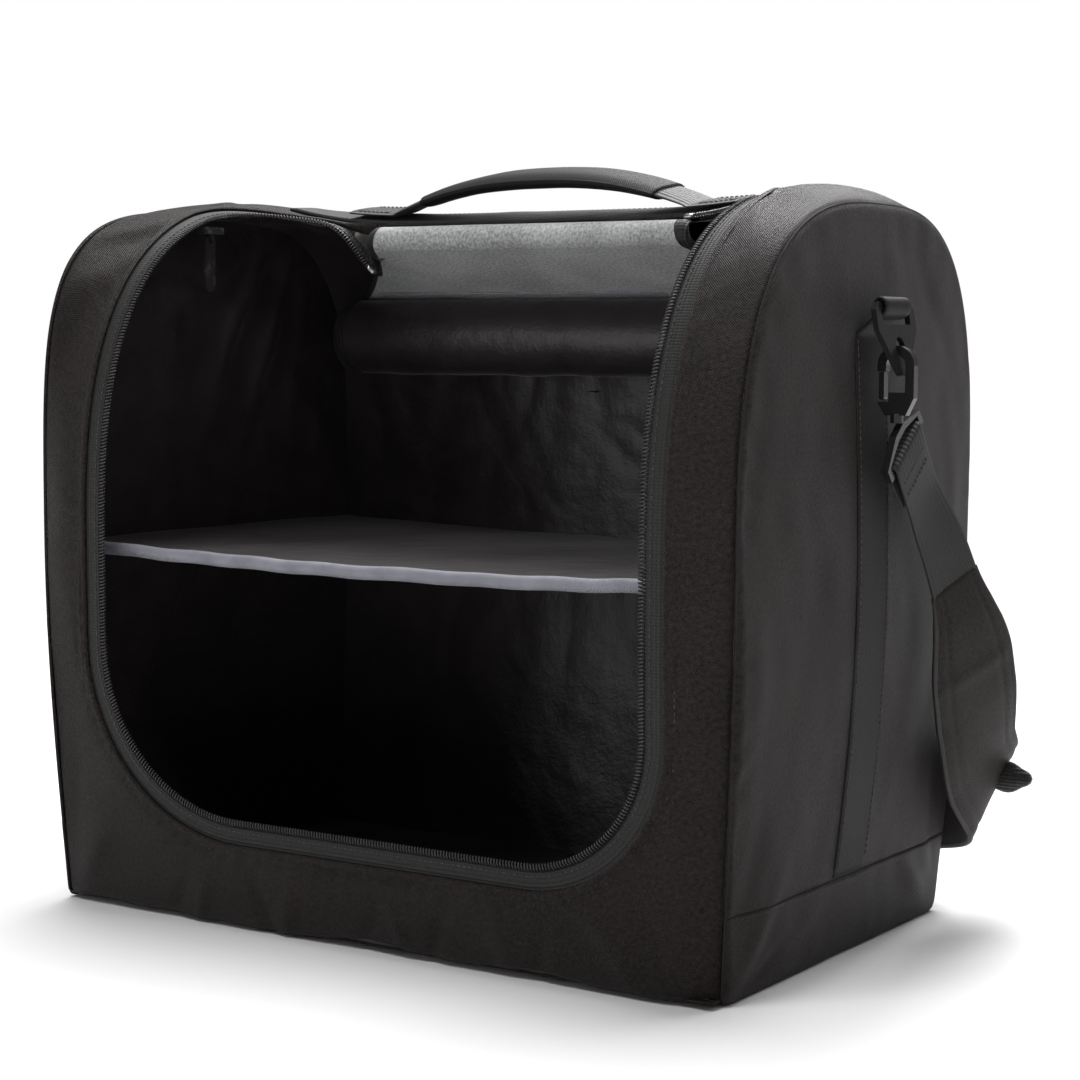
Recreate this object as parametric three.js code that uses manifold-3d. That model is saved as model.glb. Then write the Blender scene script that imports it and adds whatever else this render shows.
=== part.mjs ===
// Cap carrier case: a soft box bag with arched sides, a zipped front rolled up inside,
// a cloth shelf, a carry handle and a padded shoulder strap on snap hooks.
// Millimetres, +X to the case's right as seen from the front, +Y to the back, +Z up.
// The origin is the middle of the base, on the floor.
import * as THREE from "three";
import { mergeVertices } from "three/addons/utils/BufferGeometryUtils.js";
import Module from "manifold-3d";

const wasm = await Module();
wasm.setup();

// Body of the case
const HEIGHT = 416;
const BASE_WIDTH = 438;
const BULGE_WIDTH = 458;
const TOP_WIDTH = 458;
const BULGE_HEIGHT = 230;
const FRONT_BASE = 131;
const FRONT_BULGE = 138;
const REAR_BASE = 134;
const REAR_BULGE = 152;
const FRONT_SPRING = 215;
const REAR_SPRING = 255;
const CREST_Y = 30;
const FRONT_ROUNDNESS = 2.6;
const REAR_ROUNDNESS = 3.0;
const SIDE_BULGE = 9;
const SIDE_CENTRE_Y = 5;
const SIDE_CENTRE_Z = 190;
const TOP_SAG = 7;
const HINGE_DIP = 9;
const DIP_REACH = 45;
// The left arch is fuller and squarer than the right one, as the soft case has settled.
// inset: how far the front seam lies behind the front face; drop: below the crest;
// roundness: of the front corner at the seam.
const LEFT_SEAM = { inset: 3, drop: 7, roundness: 4.2 };
const RIGHT_SEAM = { inset: 13, drop: 11, roundness: 2.9 };
const BASE_CHAMFER = 4;
const WALL = 2.2;
const LINING = 1;
const GAP = 0.3;
const BEYOND = HEIGHT;
const SEAT = 0.6;

// Opening, zip and hinge
const OPENING_HALF = 195;
const OPENING_SILL = 47;
const CORNER_LEFT = 110;
const CORNER_RIGHT = 87;
const HINGE_Y = 35;
const HINGE_CORNER = 84;
const TAPE_WIDTH = 11;
const TAPE_THICK = 1.2;
const TAPE_DEPTH = 1.1;
const COIL_SIZE = 3.4;
const SLIDER_LENGTH = 15;
const SLIDER_WIDTH = 10;
const SLIDER_HEIGHT = 4;
const PULL_LENGTH = 32;
const PULL_WIDTH = 8;
const PULL_THICK = 1.8;
const PULL_PIN = 1;
const LUG_DROP = 2.5;
const LUG_RADIUS = 2.2;
const LUG_THICK = 2.4;

// Door flap, folded in under the top and rolled
const FLAP_THICK = 4;
const FLAP_PITCH = 4.7;
const FLAP_LENGTH = 490;
const FLAP_TURN_RADIUS = 6;
const FLAP_SLOPE = 20;
const FLAP_STRIP = 84;
const FLAP_TAPER = 1.6;
const ROLL_RADIUS = 25;

// Side seams, shelf and top
const SIDE_BAND_HEIGHT = 45;
const REAR_SEAM_HEIGHT = 300;
const REAR_START_Y = 60;
const SHELF_HEIGHT = 210;
const SHELF_THICK = 4;
const SHELF_SAG = 5;
const SHELF_FRONT = 115;
const PIPING_RADIUS = 3.8;
const BINDING_WIDTH = 34;
const BINDING_THICK = 1.5;

// Handle
const HANDLE_Y = 54;
const HANDLE_TAB = 137;
const HANDLE_FOOT = 104;
const HANDLE_RISE = 16;
const HANDLE_WIDTH = 32;
const GRIP_HALF = 84;
const GRIP_WRAP = 1.2;

// Side webbing, ring, hook and strap
const WEB_WIDTH = 38;
const WEB_THICK = 1.5;
const LOOP_WIDTH = 30;
const FITTING_Y = 5;
const RING_STANDOFF = 15;
const RING_BAR_Z = 350;
const RING_WIDTH = 46;
const RING_HEIGHT = 39;
const RING_THICK = 3;
const RING_BAR = 5;
const RING_SLOT = 7;
const RING_HOLE = 5.5;
const RING_LAND = 9.5;
const RING_SWING = 10;
const HOOK_BEND = 8;
const HOOK_WIRE = 5;
const HOOK_LEG = 14;
const HOOK_BODY = 12;
const HOOK_CLEARANCE = 1.5;
const GATE_THICK = 3;
const STEM_RADIUS = 3.5;
const STEM_LENGTH = 4;
const EYE_TILT = 40;
const EYE_WIDTH = 49;
const EYE_DEPTH = 16;
const EYE_BAR = 4;
const EYE_THICK = 4;
const STRAP_END = 36;
const STRAP_STANDOFF = 22;
const PAD_WIDTH = 60;
const PAD_THICK = 6;
const PAD_START = 0.075;
const PAD_END = 0.36;
// Keeper's outline: out from the side's face, and height
const KEEPER = [[14, 70], [24, 73], [33, 81], [24, 87], [14, 88]];
const KEEPER_Y = 150;
const KEEPER_THICK = 2;

const X_AXIS = new THREE.Vector3(1, 0, 0);
const Y_AXIS = new THREE.Vector3(0, 1, 0);
const Z_AXIS = new THREE.Vector3(0, 0, 1);
const radians = THREE.MathUtils.degToRad;
const lerp = THREE.MathUtils.lerp;

const material = (color, roughness, metalness = 0) =>
  new THREE.MeshStandardMaterial({ color, roughness, metalness });
const shellCloth = material("#332e2c", 0.85);
const liningCloth = material("#141011", 0.45);
const grey = material("#4b4d4c", 0.8);
const webbing = material("#2b2c2a", 0.8);
const plastic = material("#3a3a38", 0.4);
const pipingCloth = material("#73737a", 0.5);
const blackMetal = material("#202022", 0.35, 0.9);

const group = new THREE.Group();

// Closed meshes and booleans

function closedGeometry(positions, index) {
  const geometry = new THREE.BufferGeometry();
  geometry.setAttribute("position", new THREE.Float32BufferAttribute(positions, 3));
  let volume = 0;
  const point = (i) => new THREE.Vector3().fromArray(positions, 3 * i);
  for (let i = 0; i < index.length; i += 3) {
    const [a, b, c] = index.slice(i, i + 3).map(point);
    volume += a.dot(b.cross(c));
  }
  geometry.setIndex(volume < 0 ? index.toReversed() : index);
  return geometry;
}

// Joins rings of equal point counts, and closes both ends with a fan.
function loft(rings) {
  const count = rings[0].length;
  const index = [];
  for (let r = 0; r + 1 < rings.length; r++) {
    for (let i = 0; i < count; i++) {
      const a = r * count + i;
      const b = r * count + ((i + 1) % count);
      index.push(a, a + count, b, b, a + count, b + count);
    }
  }
  const last = (rings.length - 1) * count;
  for (let i = 1; i + 1 < count; i++) {
    index.push(0, i, i + 1);
    index.push(last, last + i + 1, last + i);
  }
  return closedGeometry(rings.flat().flatMap((p) => [p.x, p.y, p.z]), index);
}

function solidOf(geometry) {
  const bare = geometry.clone();
  bare.deleteAttribute("normal");
  bare.deleteAttribute("uv");
  const merged = mergeVertices(bare, 1e-4);
  const vertProperties = Float32Array.from(merged.attributes.position.array);
  const triVerts = Uint32Array.from(merged.index.array);
  return new wasm.Manifold(new wasm.Mesh({ numProp: 3, vertProperties, triVerts }));
}

function geometryOf(solid) {
  const mesh = solid.getMesh();
  const geometry = new THREE.BufferGeometry();
  geometry.setAttribute("position", new THREE.BufferAttribute(mesh.vertProperties, 3));
  geometry.setIndex(new THREE.BufferAttribute(mesh.triVerts, 1));
  return geometry;
}

function block(low, high) {
  const size = high.map((value, i) => value - low[i]);
  const geometry = new THREE.BoxGeometry(...size);
  geometry.translate(...low.map((value, i) => value + size[i] / 2));
  return solidOf(geometry);
}

// A flat shape given a thickness along z
function slab(shape, depth, curveSegments) {
  return new THREE.ExtrudeGeometry(shape, { depth, bevelEnabled: false, curveSegments });
}

function mirrored(geometry) {
  const flat = geometry.index ? geometry.toNonIndexed() : geometry;
  const positions = Array.from(flat.attributes.position.array, (v, i) => (i % 3 === 0 ? -v : v));
  const index = positions.length / 3;
  return closedGeometry(positions, Array.from({ length: index }, (_, i) => i));
}

function add(name, shape, look) {
  const geometry = shape.isBufferGeometry ? shape : geometryOf(shape);
  const mesh = new THREE.Mesh(geometry, look);
  mesh.name = name;
  group.add(mesh);
}

function addPair(name, shape, look) {
  const geometry = shape.isBufferGeometry ? shape : geometryOf(shape);
  add(`${name}_right`, geometry, look);
  add(`${name}_left`, mirrored(geometry), look);
}

// Section of a strap or sheet: a flat bar with its corners cut off by a share of its thickness.
function barRing(station) {
  const { at, wide, thin, width, thick } = station;
  const cut = (station.cut ?? 0.25) * thick;
  const [w, t] = [width / 2, thick / 2];
  const corners = [
    [-w + cut, -t], [w - cut, -t], [w, -t + cut], [w, t - cut],
    [w - cut, t], [-w + cut, t], [-w, t - cut], [-w, -t + cut],
  ];
  return corners.map(([u, v]) => at.clone().addScaledVector(wide, u).addScaledVector(thin, v));
}

function plainRing({ at, wide, thin, width, thick }) {
  const corners = [[-1, -1], [1, -1], [1, 1], [-1, 1]];
  return corners.map(([u, v]) => at.clone()
    .addScaledVector(wide, (u * width) / 2).addScaledVector(thin, (v * thick) / 2));
}

// Stations along a line of points; wide(i) is the direction across the strap.
function stationsAlong(points, wide, width, thick) {
  return points.map((at, i) => {
    const before = points[Math.max(i - 1, 0)];
    const after = points[Math.min(i + 1, points.length - 1)];
    const along = after.clone().sub(before).normalize();
    const across = wide(i).clone().addScaledVector(along, -along.dot(wide(i))).normalize();
    const thin = along.clone().cross(across).normalize();
    return { at, wide: across, thin, width: width(i), thick: thick(i) };
  });
}

// Outer form of the case. inset is how far inside the outer cloth a layer lies.

const sideOf = (t) => (t < 0 ? LEFT_SEAM : RIGHT_SEAM);

function halfWidth(z) {
  if (z < BULGE_HEIGHT) {
    const rise = Math.sin((Math.PI / 2) * Math.max(z, 0) / BULGE_HEIGHT);
    return lerp(BASE_WIDTH, BULGE_WIDTH, rise) / 2;
  }
  const rise = (Math.min(z, HEIGHT) - BULGE_HEIGHT) / (HEIGHT - BULGE_HEIGHT);
  return lerp(BULGE_WIDTH, TOP_WIDTH, rise * rise) / 2;
}

const RIM_SHARE = OPENING_HALF / (BULGE_WIDTH / 2);
const seamShare = (t) => Math.max(0, (Math.abs(t) - RIM_SHARE) / (1 - RIM_SHARE)) ** 2;

// Sizes of the arched outline at t, which runs from -1 at the left seam to 1 at the right one.
function outlineSizes(t, inset) {
  const side = sideOf(t);
  const seam = seamShare(t);
  return {
    wallIn: inset + side.inset * seam,
    crest: HEIGHT - inset - side.drop * seam,
    sag: 1 - Math.min(Math.abs(t) / RIM_SHARE, 1) ** 4,
    front: FRONT_BULGE - inset - side.inset * seam,
    rear: REAR_BULGE - inset,
    roundness: lerp(FRONT_ROUNDNESS, side.roundness, seam),
  };
}

// How far the top behind the hinge hangs below the arches' crest
function sagAt(y, share) {
  const behind = Math.min(Math.max(y - CREST_Y, 0) / DIP_REACH, 1);
  return share * (TOP_SAG + HINGE_DIP * (1 - behind));
}

function wallY(base, bulge, spring, z) {
  return lerp(base, bulge, Math.sin((Math.PI / 2) * Math.min(z / spring, 1)));
}

// Angles round the arch from its spring, closer together where the top dips behind its crest
const ARC_ANGLES = [0, 10, 20, 30, 40, 50, 60, 69, 77, 83, 87, 90];
const FRONT_ROWS = [0, 0.03, 0.3, 0.65];
const REAR_ROWS = [0.6, 0.03, 0];

// The outline's points at t, from the front foot up, over the crest and down to the rear foot.
function outline(t, inset) {
  const { wallIn, crest, sag, front, rear, roundness } = outlineSizes(t, inset);
  const foot = (share) => (share === 0 ? BASE_CHAMFER : 0);
  const rowZ = (share, spring) => Math.max(share * spring, inset);
  const points = [];
  for (const share of FRONT_ROWS) {
    const z = rowZ(share, FRONT_SPRING);
    points.push([-(wallY(FRONT_BASE, FRONT_BULGE, FRONT_SPRING, z) - wallIn - foot(share)), z]);
  }
  const arcPoint = (reach, spring, n, degrees) => {
    const angle = radians(degrees);
    const y = CREST_Y + reach * Math.cos(angle) ** (2 / n);
    const z = spring + (crest - spring) * Math.sin(angle) ** (2 / n);
    points.push([y, z - sagAt(y, sag) * Math.sin(angle) ** 4]);
  };
  for (const angle of ARC_ANGLES) arcPoint(-(front + CREST_Y), FRONT_SPRING, roundness, angle);
  for (const angle of ARC_ANGLES.slice(0, -1).toReversed()) {
    arcPoint(rear - CREST_Y, REAR_SPRING, REAR_ROUNDNESS, angle);
  }
  for (const share of REAR_ROWS) {
    const z = rowZ(share, REAR_SPRING);
    points.push([wallY(REAR_BASE, REAR_BULGE, REAR_SPRING, z) - inset - foot(share), z]);
  }
  return points;
}

const SECTION_SHARES = [-1, -0.95, -0.9, -0.85, -0.65, -0.35, 0, 0.35, 0.65, 0.85, 0.9, 0.95, 1];
const CAP_RINGS = [0.4, 0.75, 0.93];

const capBulge = (scale) => SIDE_BULGE * (1 - scale * scale);

function capRing(side, scale, inset) {
  return outline(side, inset).map(([y, z]) => {
    const cz = lerp(SIDE_CENTRE_Z, z, scale);
    const out = halfWidth(cz) - inset + capBulge(scale);
    return new THREE.Vector3(side * out, lerp(SIDE_CENTRE_Y, y, scale), cz);
  });
}

function skin(inset) {
  const body = SECTION_SHARES.map((t) => outline(t, inset)
    .map(([y, z]) => new THREE.Vector3(t * (halfWidth(z) - inset), y, z)));
  const left = CAP_RINGS.map((scale) => capRing(-1, scale, inset));
  const right = CAP_RINGS.toReversed().map((scale) => capRing(1, scale, inset));
  return solidOf(loft([...left, ...body, ...right]));
}

// Outer surface of the case at a place on it
function topZ(x, y, inset = 0) {
  const t = x / (halfWidth(HEIGHT) - inset);
  const { crest, sag, front, rear, roundness } = outlineSizes(t, inset);
  const ahead = y < CREST_Y;
  const reach = ahead ? front + CREST_Y : rear - CREST_Y;
  const power = ahead ? roundness : REAR_ROUNDNESS;
  const spring = ahead ? FRONT_SPRING : REAR_SPRING;
  const share = Math.min(Math.abs(y - CREST_Y) / reach, 1);
  const rise = (1 - share ** power) ** (1 / power);
  return spring + (crest - spring) * rise - sagAt(y, sag) * rise ** (2 * power);
}

function frontY(x, z, inset = 0) {
  const t = x / (halfWidth(z) - inset);
  const { wallIn, crest, front, roundness } = outlineSizes(t, inset);
  if (z < FRONT_SPRING) return -(wallY(FRONT_BASE, FRONT_BULGE, FRONT_SPRING, z) - wallIn);
  const share = Math.min((z - FRONT_SPRING) / (crest - FRONT_SPRING), 1);
  return CREST_Y - (front + CREST_Y) * (1 - share ** roundness) ** (1 / roundness);
}

// Outer face of a side on the upright line through its centre
function sideX(z) {
  const [foot, head] = [0, topZ(halfWidth(HEIGHT), SIDE_CENTRE_Y)];
  const reach = z > SIDE_CENTRE_Z ? head - SIDE_CENTRE_Z : SIDE_CENTRE_Z - foot;
  const scale = Math.min(Math.abs(z - SIDE_CENTRE_Z) / reach, 1);
  return halfWidth(z) + capBulge(scale);
}

// Everything between the two side seams, less a margin at each
function betweenSeams(margin) {
  const rows = [-10, 0, 30, 80, 140, 200, 260, 320, 370, HEIGHT + 20];
  const rings = rows.map((z) => {
    const x = halfWidth(z) - margin;
    const corners = [[-x, -BEYOND], [x, -BEYOND], [x, BEYOND], [-x, BEYOND]];
    return corners.map(([u, v]) => new THREE.Vector3(u, v, z));
  });
  return solidOf(loft(rings));
}

// Opening: a U in the front view, cut with a round-cornered end in the plan view

function frontPrism(margin) {
  const [half, sill] = [OPENING_HALF - margin, OPENING_SILL + margin];
  const [left, right] = [CORNER_LEFT - margin, CORNER_RIGHT - margin];
  const shape = new THREE.Shape();
  shape.moveTo(-half, HEIGHT + 50);
  shape.lineTo(-half, sill + left);
  shape.absarc(-half + left, sill + left, left, Math.PI, 1.5 * Math.PI, false);
  shape.lineTo(half - right, sill);
  shape.absarc(half - right, sill + right, right, 1.5 * Math.PI, 2 * Math.PI, false);
  shape.lineTo(half, HEIGHT + 50);
  const geometry = slab(shape, 2 * BEYOND, 9);
  geometry.rotateX(Math.PI / 2);
  geometry.translate(0, BEYOND, 0);
  return solidOf(geometry);
}

function planPrism(margin) {
  const [half, end, corner] = [OPENING_HALF - margin, HINGE_Y - margin, HINGE_CORNER - margin];
  const shape = new THREE.Shape();
  shape.moveTo(-half, -BEYOND);
  shape.lineTo(half, -BEYOND);
  shape.lineTo(half, end - corner);
  shape.absarc(half - corner, end - corner, corner, 0, Math.PI / 2, false);
  shape.lineTo(-half + corner, end);
  shape.absarc(-half + corner, end - corner, corner, Math.PI / 2, Math.PI, false);
  return solidOf(slab(shape, HEIGHT + 50, 5));
}

const openingCut = (margin) => frontPrism(margin).intersect(planPrism(margin));

const layer = (low, high) => block([-BEYOND, -BEYOND, low], [BEYOND, BEYOND, high]);

function makeShell() {
  const shell = skin(0).subtract(skin(WALL));
  const base = shell.intersect(layer(-BEYOND, WALL));
  const walls = shell.intersect(layer(WALL + GAP, 2 * BEYOND));
  const sides = walls.subtract(betweenSeams(WALL));
  const band = walls.intersect(betweenSeams(WALL + GAP)).subtract(openingCut(0));
  const rearBlock = (cut) => block([-BEYOND, REAR_START_Y, -BEYOND], [BEYOND, BEYOND, cut]);
  add("base_panel", base, shellCloth);
  add("main_band", band.subtract(rearBlock(REAR_SEAM_HEIGHT)), shellCloth);
  add("rear_panel", band.intersect(rearBlock(REAR_SEAM_HEIGHT - GAP)), shellCloth);
  for (const [name, low, high] of [["right", 0, BEYOND], ["left", -BEYOND, 0]]) {
    const side = sides.intersect(block([low, -BEYOND, 0], [high, BEYOND, 2 * BEYOND]));
    add(`side_base_${name}`, side.intersect(layer(-BEYOND, SIDE_BAND_HEIGHT)), shellCloth);
    add(`side_panel_${name}`, side.subtract(layer(-BEYOND, SIDE_BAND_HEIGHT + GAP)), shellCloth);
  }
  const inner = skin(WALL + GAP).subtract(skin(WALL + GAP + LINING));
  add("lining", inner.subtract(openingCut(-GAP)), liningCloth);
}

// Zip on the case's side of the opening

function makeZip() {
  const sheet = skin(TAPE_DEPTH - TAPE_THICK / 2).subtract(skin(TAPE_DEPTH + TAPE_THICK / 2));
  const ring = openingCut(GAP).subtract(openingCut(TAPE_WIDTH));
  const hingeHalf = OPENING_HALF - HINGE_CORNER;
  const hinge = block([-hingeHalf, HINGE_Y - 2 * TAPE_WIDTH, 0], [hingeHalf, HINGE_Y + 1, HEIGHT]);
  add("zipper_tape", sheet.intersect(ring).subtract(hinge), webbing);

  const margin = TAPE_WIDTH + SEAT + COIL_SIZE / 2;
  const path = coilPath(margin, TAPE_DEPTH);
  const inner = coilPath(margin + 5, TAPE_DEPTH);
  const inward = (i) => inner[i].clone().sub(path[i]).normalize();
  const size = () => COIL_SIZE;
  add("zipper_coil", loft(stationsAlong(path, inward, size, size).map(plainRing)), webbing);
}

// Points along the opening's edge, a margin inside it, from one hinge corner to the other
function coilPath(margin, inset) {
  const half = OPENING_HALF - margin;
  const corner = HINGE_CORNER - margin;
  const end = HINGE_Y - margin;
  const side = (sign, lower) => {
    const points = [];
    for (let angle = 78; angle > 0; angle -= 13) {
      const x = sign * (half - corner + corner * Math.cos(radians(angle)));
      const y = end - corner + corner * Math.sin(radians(angle));
      points.push(new THREE.Vector3(x, y, topZ(x, y, inset)));
    }
    const from = end - corner;
    const steps = [0, 0.25, 0.5, 0.7, 0.85];
    for (const share of steps) {
      const y = lerp(from, -0.72 * FRONT_BULGE, share);
      points.push(new THREE.Vector3(sign * half, y, topZ(sign * half, y, inset)));
    }
    const turn = points.at(-1).z;
    for (const share of [0.12, 0.25, 0.4, 0.6, 0.8, 1]) {
      const z = lerp(turn, OPENING_SILL + lower, share);
      points.push(new THREE.Vector3(sign * half, frontY(sign * half, z, inset), z));
    }
    return points;
  };
  const bend = (sign, radius) => {
    const points = [];
    for (let angle = 12; angle <= 90; angle += 13) {
      const r = radius - margin;
      const x = sign * (half - r + r * Math.cos(radians(angle)));
      const z = OPENING_SILL + radius - r * Math.sin(radians(angle));
      points.push(new THREE.Vector3(x, frontY(x, z, inset), z));
    }
    return points;
  };
  const left = [...side(-1, CORNER_LEFT), ...bend(-1, CORNER_LEFT)];
  const right = [...side(1, CORNER_RIGHT), ...bend(1, CORNER_RIGHT)];
  return [...left, ...right.toReversed()];
}

// Door flap: hinged at the top seam, turned in, then rolled up towards the front
function flapStations() {
  const start = new THREE.Vector2(HINGE_Y - GAP, topZ(0, HINGE_Y) - FLAP_THICK / 2 - GAP);
  const points = [start.clone()];
  const turnCentre = new THREE.Vector2(start.x - 3, start.y - FLAP_TURN_RADIUS);
  const slope = radians(FLAP_SLOPE);
  const turnEnd = 1.5 * Math.PI - slope;
  for (let i = 0; i <= 6; i++) {
    const angle = lerp(Math.PI / 2, turnEnd, i / 6);
    points.push(turnCentre.clone().add(new THREE.Vector2(
      FLAP_TURN_RADIUS * Math.cos(angle), FLAP_TURN_RADIUS * Math.sin(angle))));
  }
  const heading = new THREE.Vector2(Math.cos(slope), -Math.sin(slope));
  const stripEnd = points.at(-1).clone().addScaledVector(heading, FLAP_STRIP);
  const turnFoot = points.at(-1);
  points.push(turnFoot.clone().lerp(stripEnd, 0.33), turnFoot.clone().lerp(stripEnd, 0.66));
  const towardsRoll = new THREE.Vector2(heading.y, -heading.x);
  const rollCentre = stripEnd.clone().addScaledVector(towardsRoll, ROLL_RADIUS);
  const used = FLAP_TURN_RADIUS * (turnEnd - Math.PI / 2) + FLAP_STRIP;
  let length = used;
  let angle = Math.PI / 2 - slope;
  let radius = ROLL_RADIUS;
  const step = radians(24);
  while (length < FLAP_LENGTH && radius > FLAP_THICK) {
    const spoke = new THREE.Vector2(Math.cos(angle), Math.sin(angle));
    points.push(rollCentre.clone().addScaledVector(spoke, radius));
    angle -= step;
    length += radius * step;
    radius -= (FLAP_PITCH * step) / (2 * Math.PI);
  }
  return points.map((p) => new THREE.Vector3(0, p.x, p.y));
}

function makeFlap() {
  const points = flapStations();
  const lengths = [0];
  for (let i = 1; i < points.length; i++) lengths.push(lengths[i - 1] + points[i].distanceTo(points[i - 1]));
  const full = 2 * (OPENING_HALF - TAPE_WIDTH - COIL_SIZE);
  const total = lengths.at(-1);
  const corner = (CORNER_LEFT + CORNER_RIGHT) / 2;
  const hinge = 2 * (OPENING_HALF - HINGE_CORNER - GAP);
  const strip = FLAP_TURN_RADIUS * Math.PI + FLAP_STRIP;
  const width = (i) => {
    const fromHinge = Math.min(lengths[i] / strip, 1);
    const fromEnd = Math.min((total - lengths[i]) / corner, 1);
    const endLoss = 2 * corner * (1 - Math.sqrt(1 - (1 - fromEnd) ** 2));
    return lerp(hinge, full, fromHinge ** FLAP_TAPER) - endLoss;
  };
  const rings = stationsAlong(points, () => X_AXIS, width, () => FLAP_THICK).map(plainRing);
  add("door_flap", loft(rings), grey);
}

// Shelf and its rounded front edge
function makeShelf() {
  const inside = skin(WALL + GAP + LINING + GAP);
  const half = BULGE_WIDTH / 2;
  const rearEdge = REAR_BULGE;
  const front = -SHELF_FRONT + PIPING_RADIUS + GAP;
  const shares = [-1, -0.85, -0.6, -0.3, 0, 0.3, 0.6, 0.85, 1];
  const height = (share) => SHELF_HEIGHT - SHELF_SAG * (1 - share * share);
  const sheet = shares.map((share) => ({
    at: new THREE.Vector3(share * half, (front + rearEdge) / 2, height(share)),
    wide: Y_AXIS, thin: Z_AXIS, width: rearEdge - front, thick: SHELF_THICK,
  }));
  add("shelf", solidOf(loft(sheet.map(plainRing))).intersect(inside), liningCloth);
  const tube = shares.map((share) => Array.from({ length: 10 }, (_, i) => {
    const angle = (2 * Math.PI * i) / 10;
    return new THREE.Vector3(share * half, -SHELF_FRONT + PIPING_RADIUS * Math.cos(angle),
      height(share) + PIPING_RADIUS * Math.sin(angle));
  }));
  add("shelf_piping", solidOf(loft(tube)).intersect(inside), pipingCloth);
}

// Handle, and the band across the top behind the hinge that it is sewn on

// How far a flat bar across y must be lifted to lie clear of the curved top
function restOn(x) {
  const [ahead, behind] = [HANDLE_Y - HANDLE_WIDTH / 2, HANDLE_Y + HANDLE_WIDTH / 2];
  const [low, high] = [topZ(x, ahead), topZ(x, behind)];
  const lifts = [0, 0.2, 0.4, 0.6, 0.8, 1].map((share) => (
    topZ(x, lerp(ahead, behind, share)) - lerp(low, high, share)));
  return { lift: Math.max(...lifts), middle: (low + high) / 2 };
}

function handlePoint(x) {
  const { lift, middle } = restOn(x);
  const seat = middle + lift + GAP + BINDING_THICK + GAP + SEAT;
  const share = Math.min(Math.abs(x) / HANDLE_FOOT, 1);
  const rise = Math.cos((Math.PI / 2) * share ** 1.3) ** 0.9;
  return { seat, rise: HANDLE_RISE * rise, share };
}

function handleStations(grow, half) {
  const shares = [1, 0.76, 0.66, 0.5, 0.38, 0.19, 0];
  const xs = [...shares.map((s) => -s), ...shares.slice(0, -1).toReversed()].map((s) => s * half);
  const thick = (x) => lerp(8, 3, Math.min(Math.abs(x) / HANDLE_FOOT, 1) ** 2);
  const points = xs.map((x) => {
    const { seat, rise } = handlePoint(x);
    return new THREE.Vector3(x, HANDLE_Y, seat + thick(x) / 2 + rise);
  });
  const [ahead, behind] = [HANDLE_Y - HANDLE_WIDTH / 2, HANDLE_Y + HANDLE_WIDTH / 2];
  const slope = (x) => topZ(x, behind) - topZ(x, ahead);
  const wide = (i) => new THREE.Vector3(0, HANDLE_WIDTH, slope(xs[i])).normalize();
  return stationsAlong(points, wide, () => HANDLE_WIDTH + 2 * grow, (i) => thick(xs[i]) + 2 * grow);
}

function makeTop() {
  const half = OPENING_HALF - TAPE_WIDTH;
  const front = HINGE_Y + GAP + 2;
  const sheet = skin(-GAP - BINDING_THICK).subtract(skin(-GAP));
  const strip = block([-half, front, REAR_SEAM_HEIGHT], [half, front + BINDING_WIDTH, HEIGHT + 9]);
  add("top_binding", sheet.intersect(strip), webbing);
  const handle = loft(handleStations(0, HANDLE_TAB).map(barRing));
  add("carry_handle", handle, webbing);
  const wrap = solidOf(loft(handleStations(GAP + GRIP_WRAP, HANDLE_TAB).map(barRing)));
  const core = solidOf(loft(handleStations(GAP, HANDLE_TAB + 1).map(barRing)));
  const middle = block([-GRIP_HALF, -BEYOND, 0], [GRIP_HALF, BEYOND, 2 * BEYOND]);
  add("handle_grip", wrap.intersect(middle).subtract(core), webbing);
}

// Sliders parked at the hinge ends of the zip, under the coil, with pull tabs that hang from them
function makeSliders() {
  const margin = TAPE_WIDTH + SEAT + COIL_SIZE / 2;
  const x = OPENING_HALF - margin;
  const y = HINGE_Y - HINGE_CORNER + SLIDER_LENGTH / 2;
  const seat = topZ(x, y - SLIDER_LENGTH / 2, TAPE_DEPTH) - COIL_SIZE / 2 - SEAT;
  const body = new THREE.BoxGeometry(SLIDER_WIDTH, SLIDER_LENGTH, SLIDER_HEIGHT);
  body.translate(x, y, seat - SLIDER_HEIGHT / 2);
  const pivotZ = seat - SLIDER_HEIGHT - LUG_DROP;
  const lug = new THREE.Shape();
  lug.moveTo(-LUG_RADIUS, LUG_DROP + 0.5);
  lug.lineTo(-LUG_RADIUS, 0);
  lug.absarc(0, 0, LUG_RADIUS, Math.PI, 2 * Math.PI, false);
  lug.lineTo(LUG_RADIUS, LUG_DROP + 0.5);
  const hole = new THREE.Path();
  hole.absarc(0, 0, PULL_PIN + GAP, 0, 2 * Math.PI, true);
  lug.holes.push(hole);
  const ear = slab(lug, LUG_THICK, 8);
  ear.rotateX(Math.PI / 2);
  ear.translate(x, y + LUG_THICK / 2, pivotZ);
  addPair("zipper_slider", solidOf(body).add(solidOf(ear)), blackMetal);

  const [half, slot] = [PULL_WIDTH / 2, LUG_THICK / 2 + GAP];
  const tab = new THREE.Shape();
  tab.moveTo(-half, PULL_PIN);
  tab.lineTo(-half, -PULL_LENGTH + half);
  tab.absarc(0, -PULL_LENGTH + half, half, Math.PI, 2 * Math.PI, false);
  tab.lineTo(half, PULL_PIN);
  tab.lineTo(slot, PULL_PIN);
  tab.lineTo(slot, -LUG_RADIUS - SEAT);
  tab.lineTo(-slot, -LUG_RADIUS - SEAT);
  tab.lineTo(-slot, PULL_PIN);
  const plate = sidePlate(tab, 0, PULL_THICK);
  const pin = new THREE.CylinderGeometry(PULL_PIN, PULL_PIN, PULL_WIDTH - 1, 8);
  const pull = geometryOf(solidOf(plate).add(solidOf(pin)));
  pull.translate(x, y, pivotZ);
  addPair("zipper_pull", pull, blackMetal);
}

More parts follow.
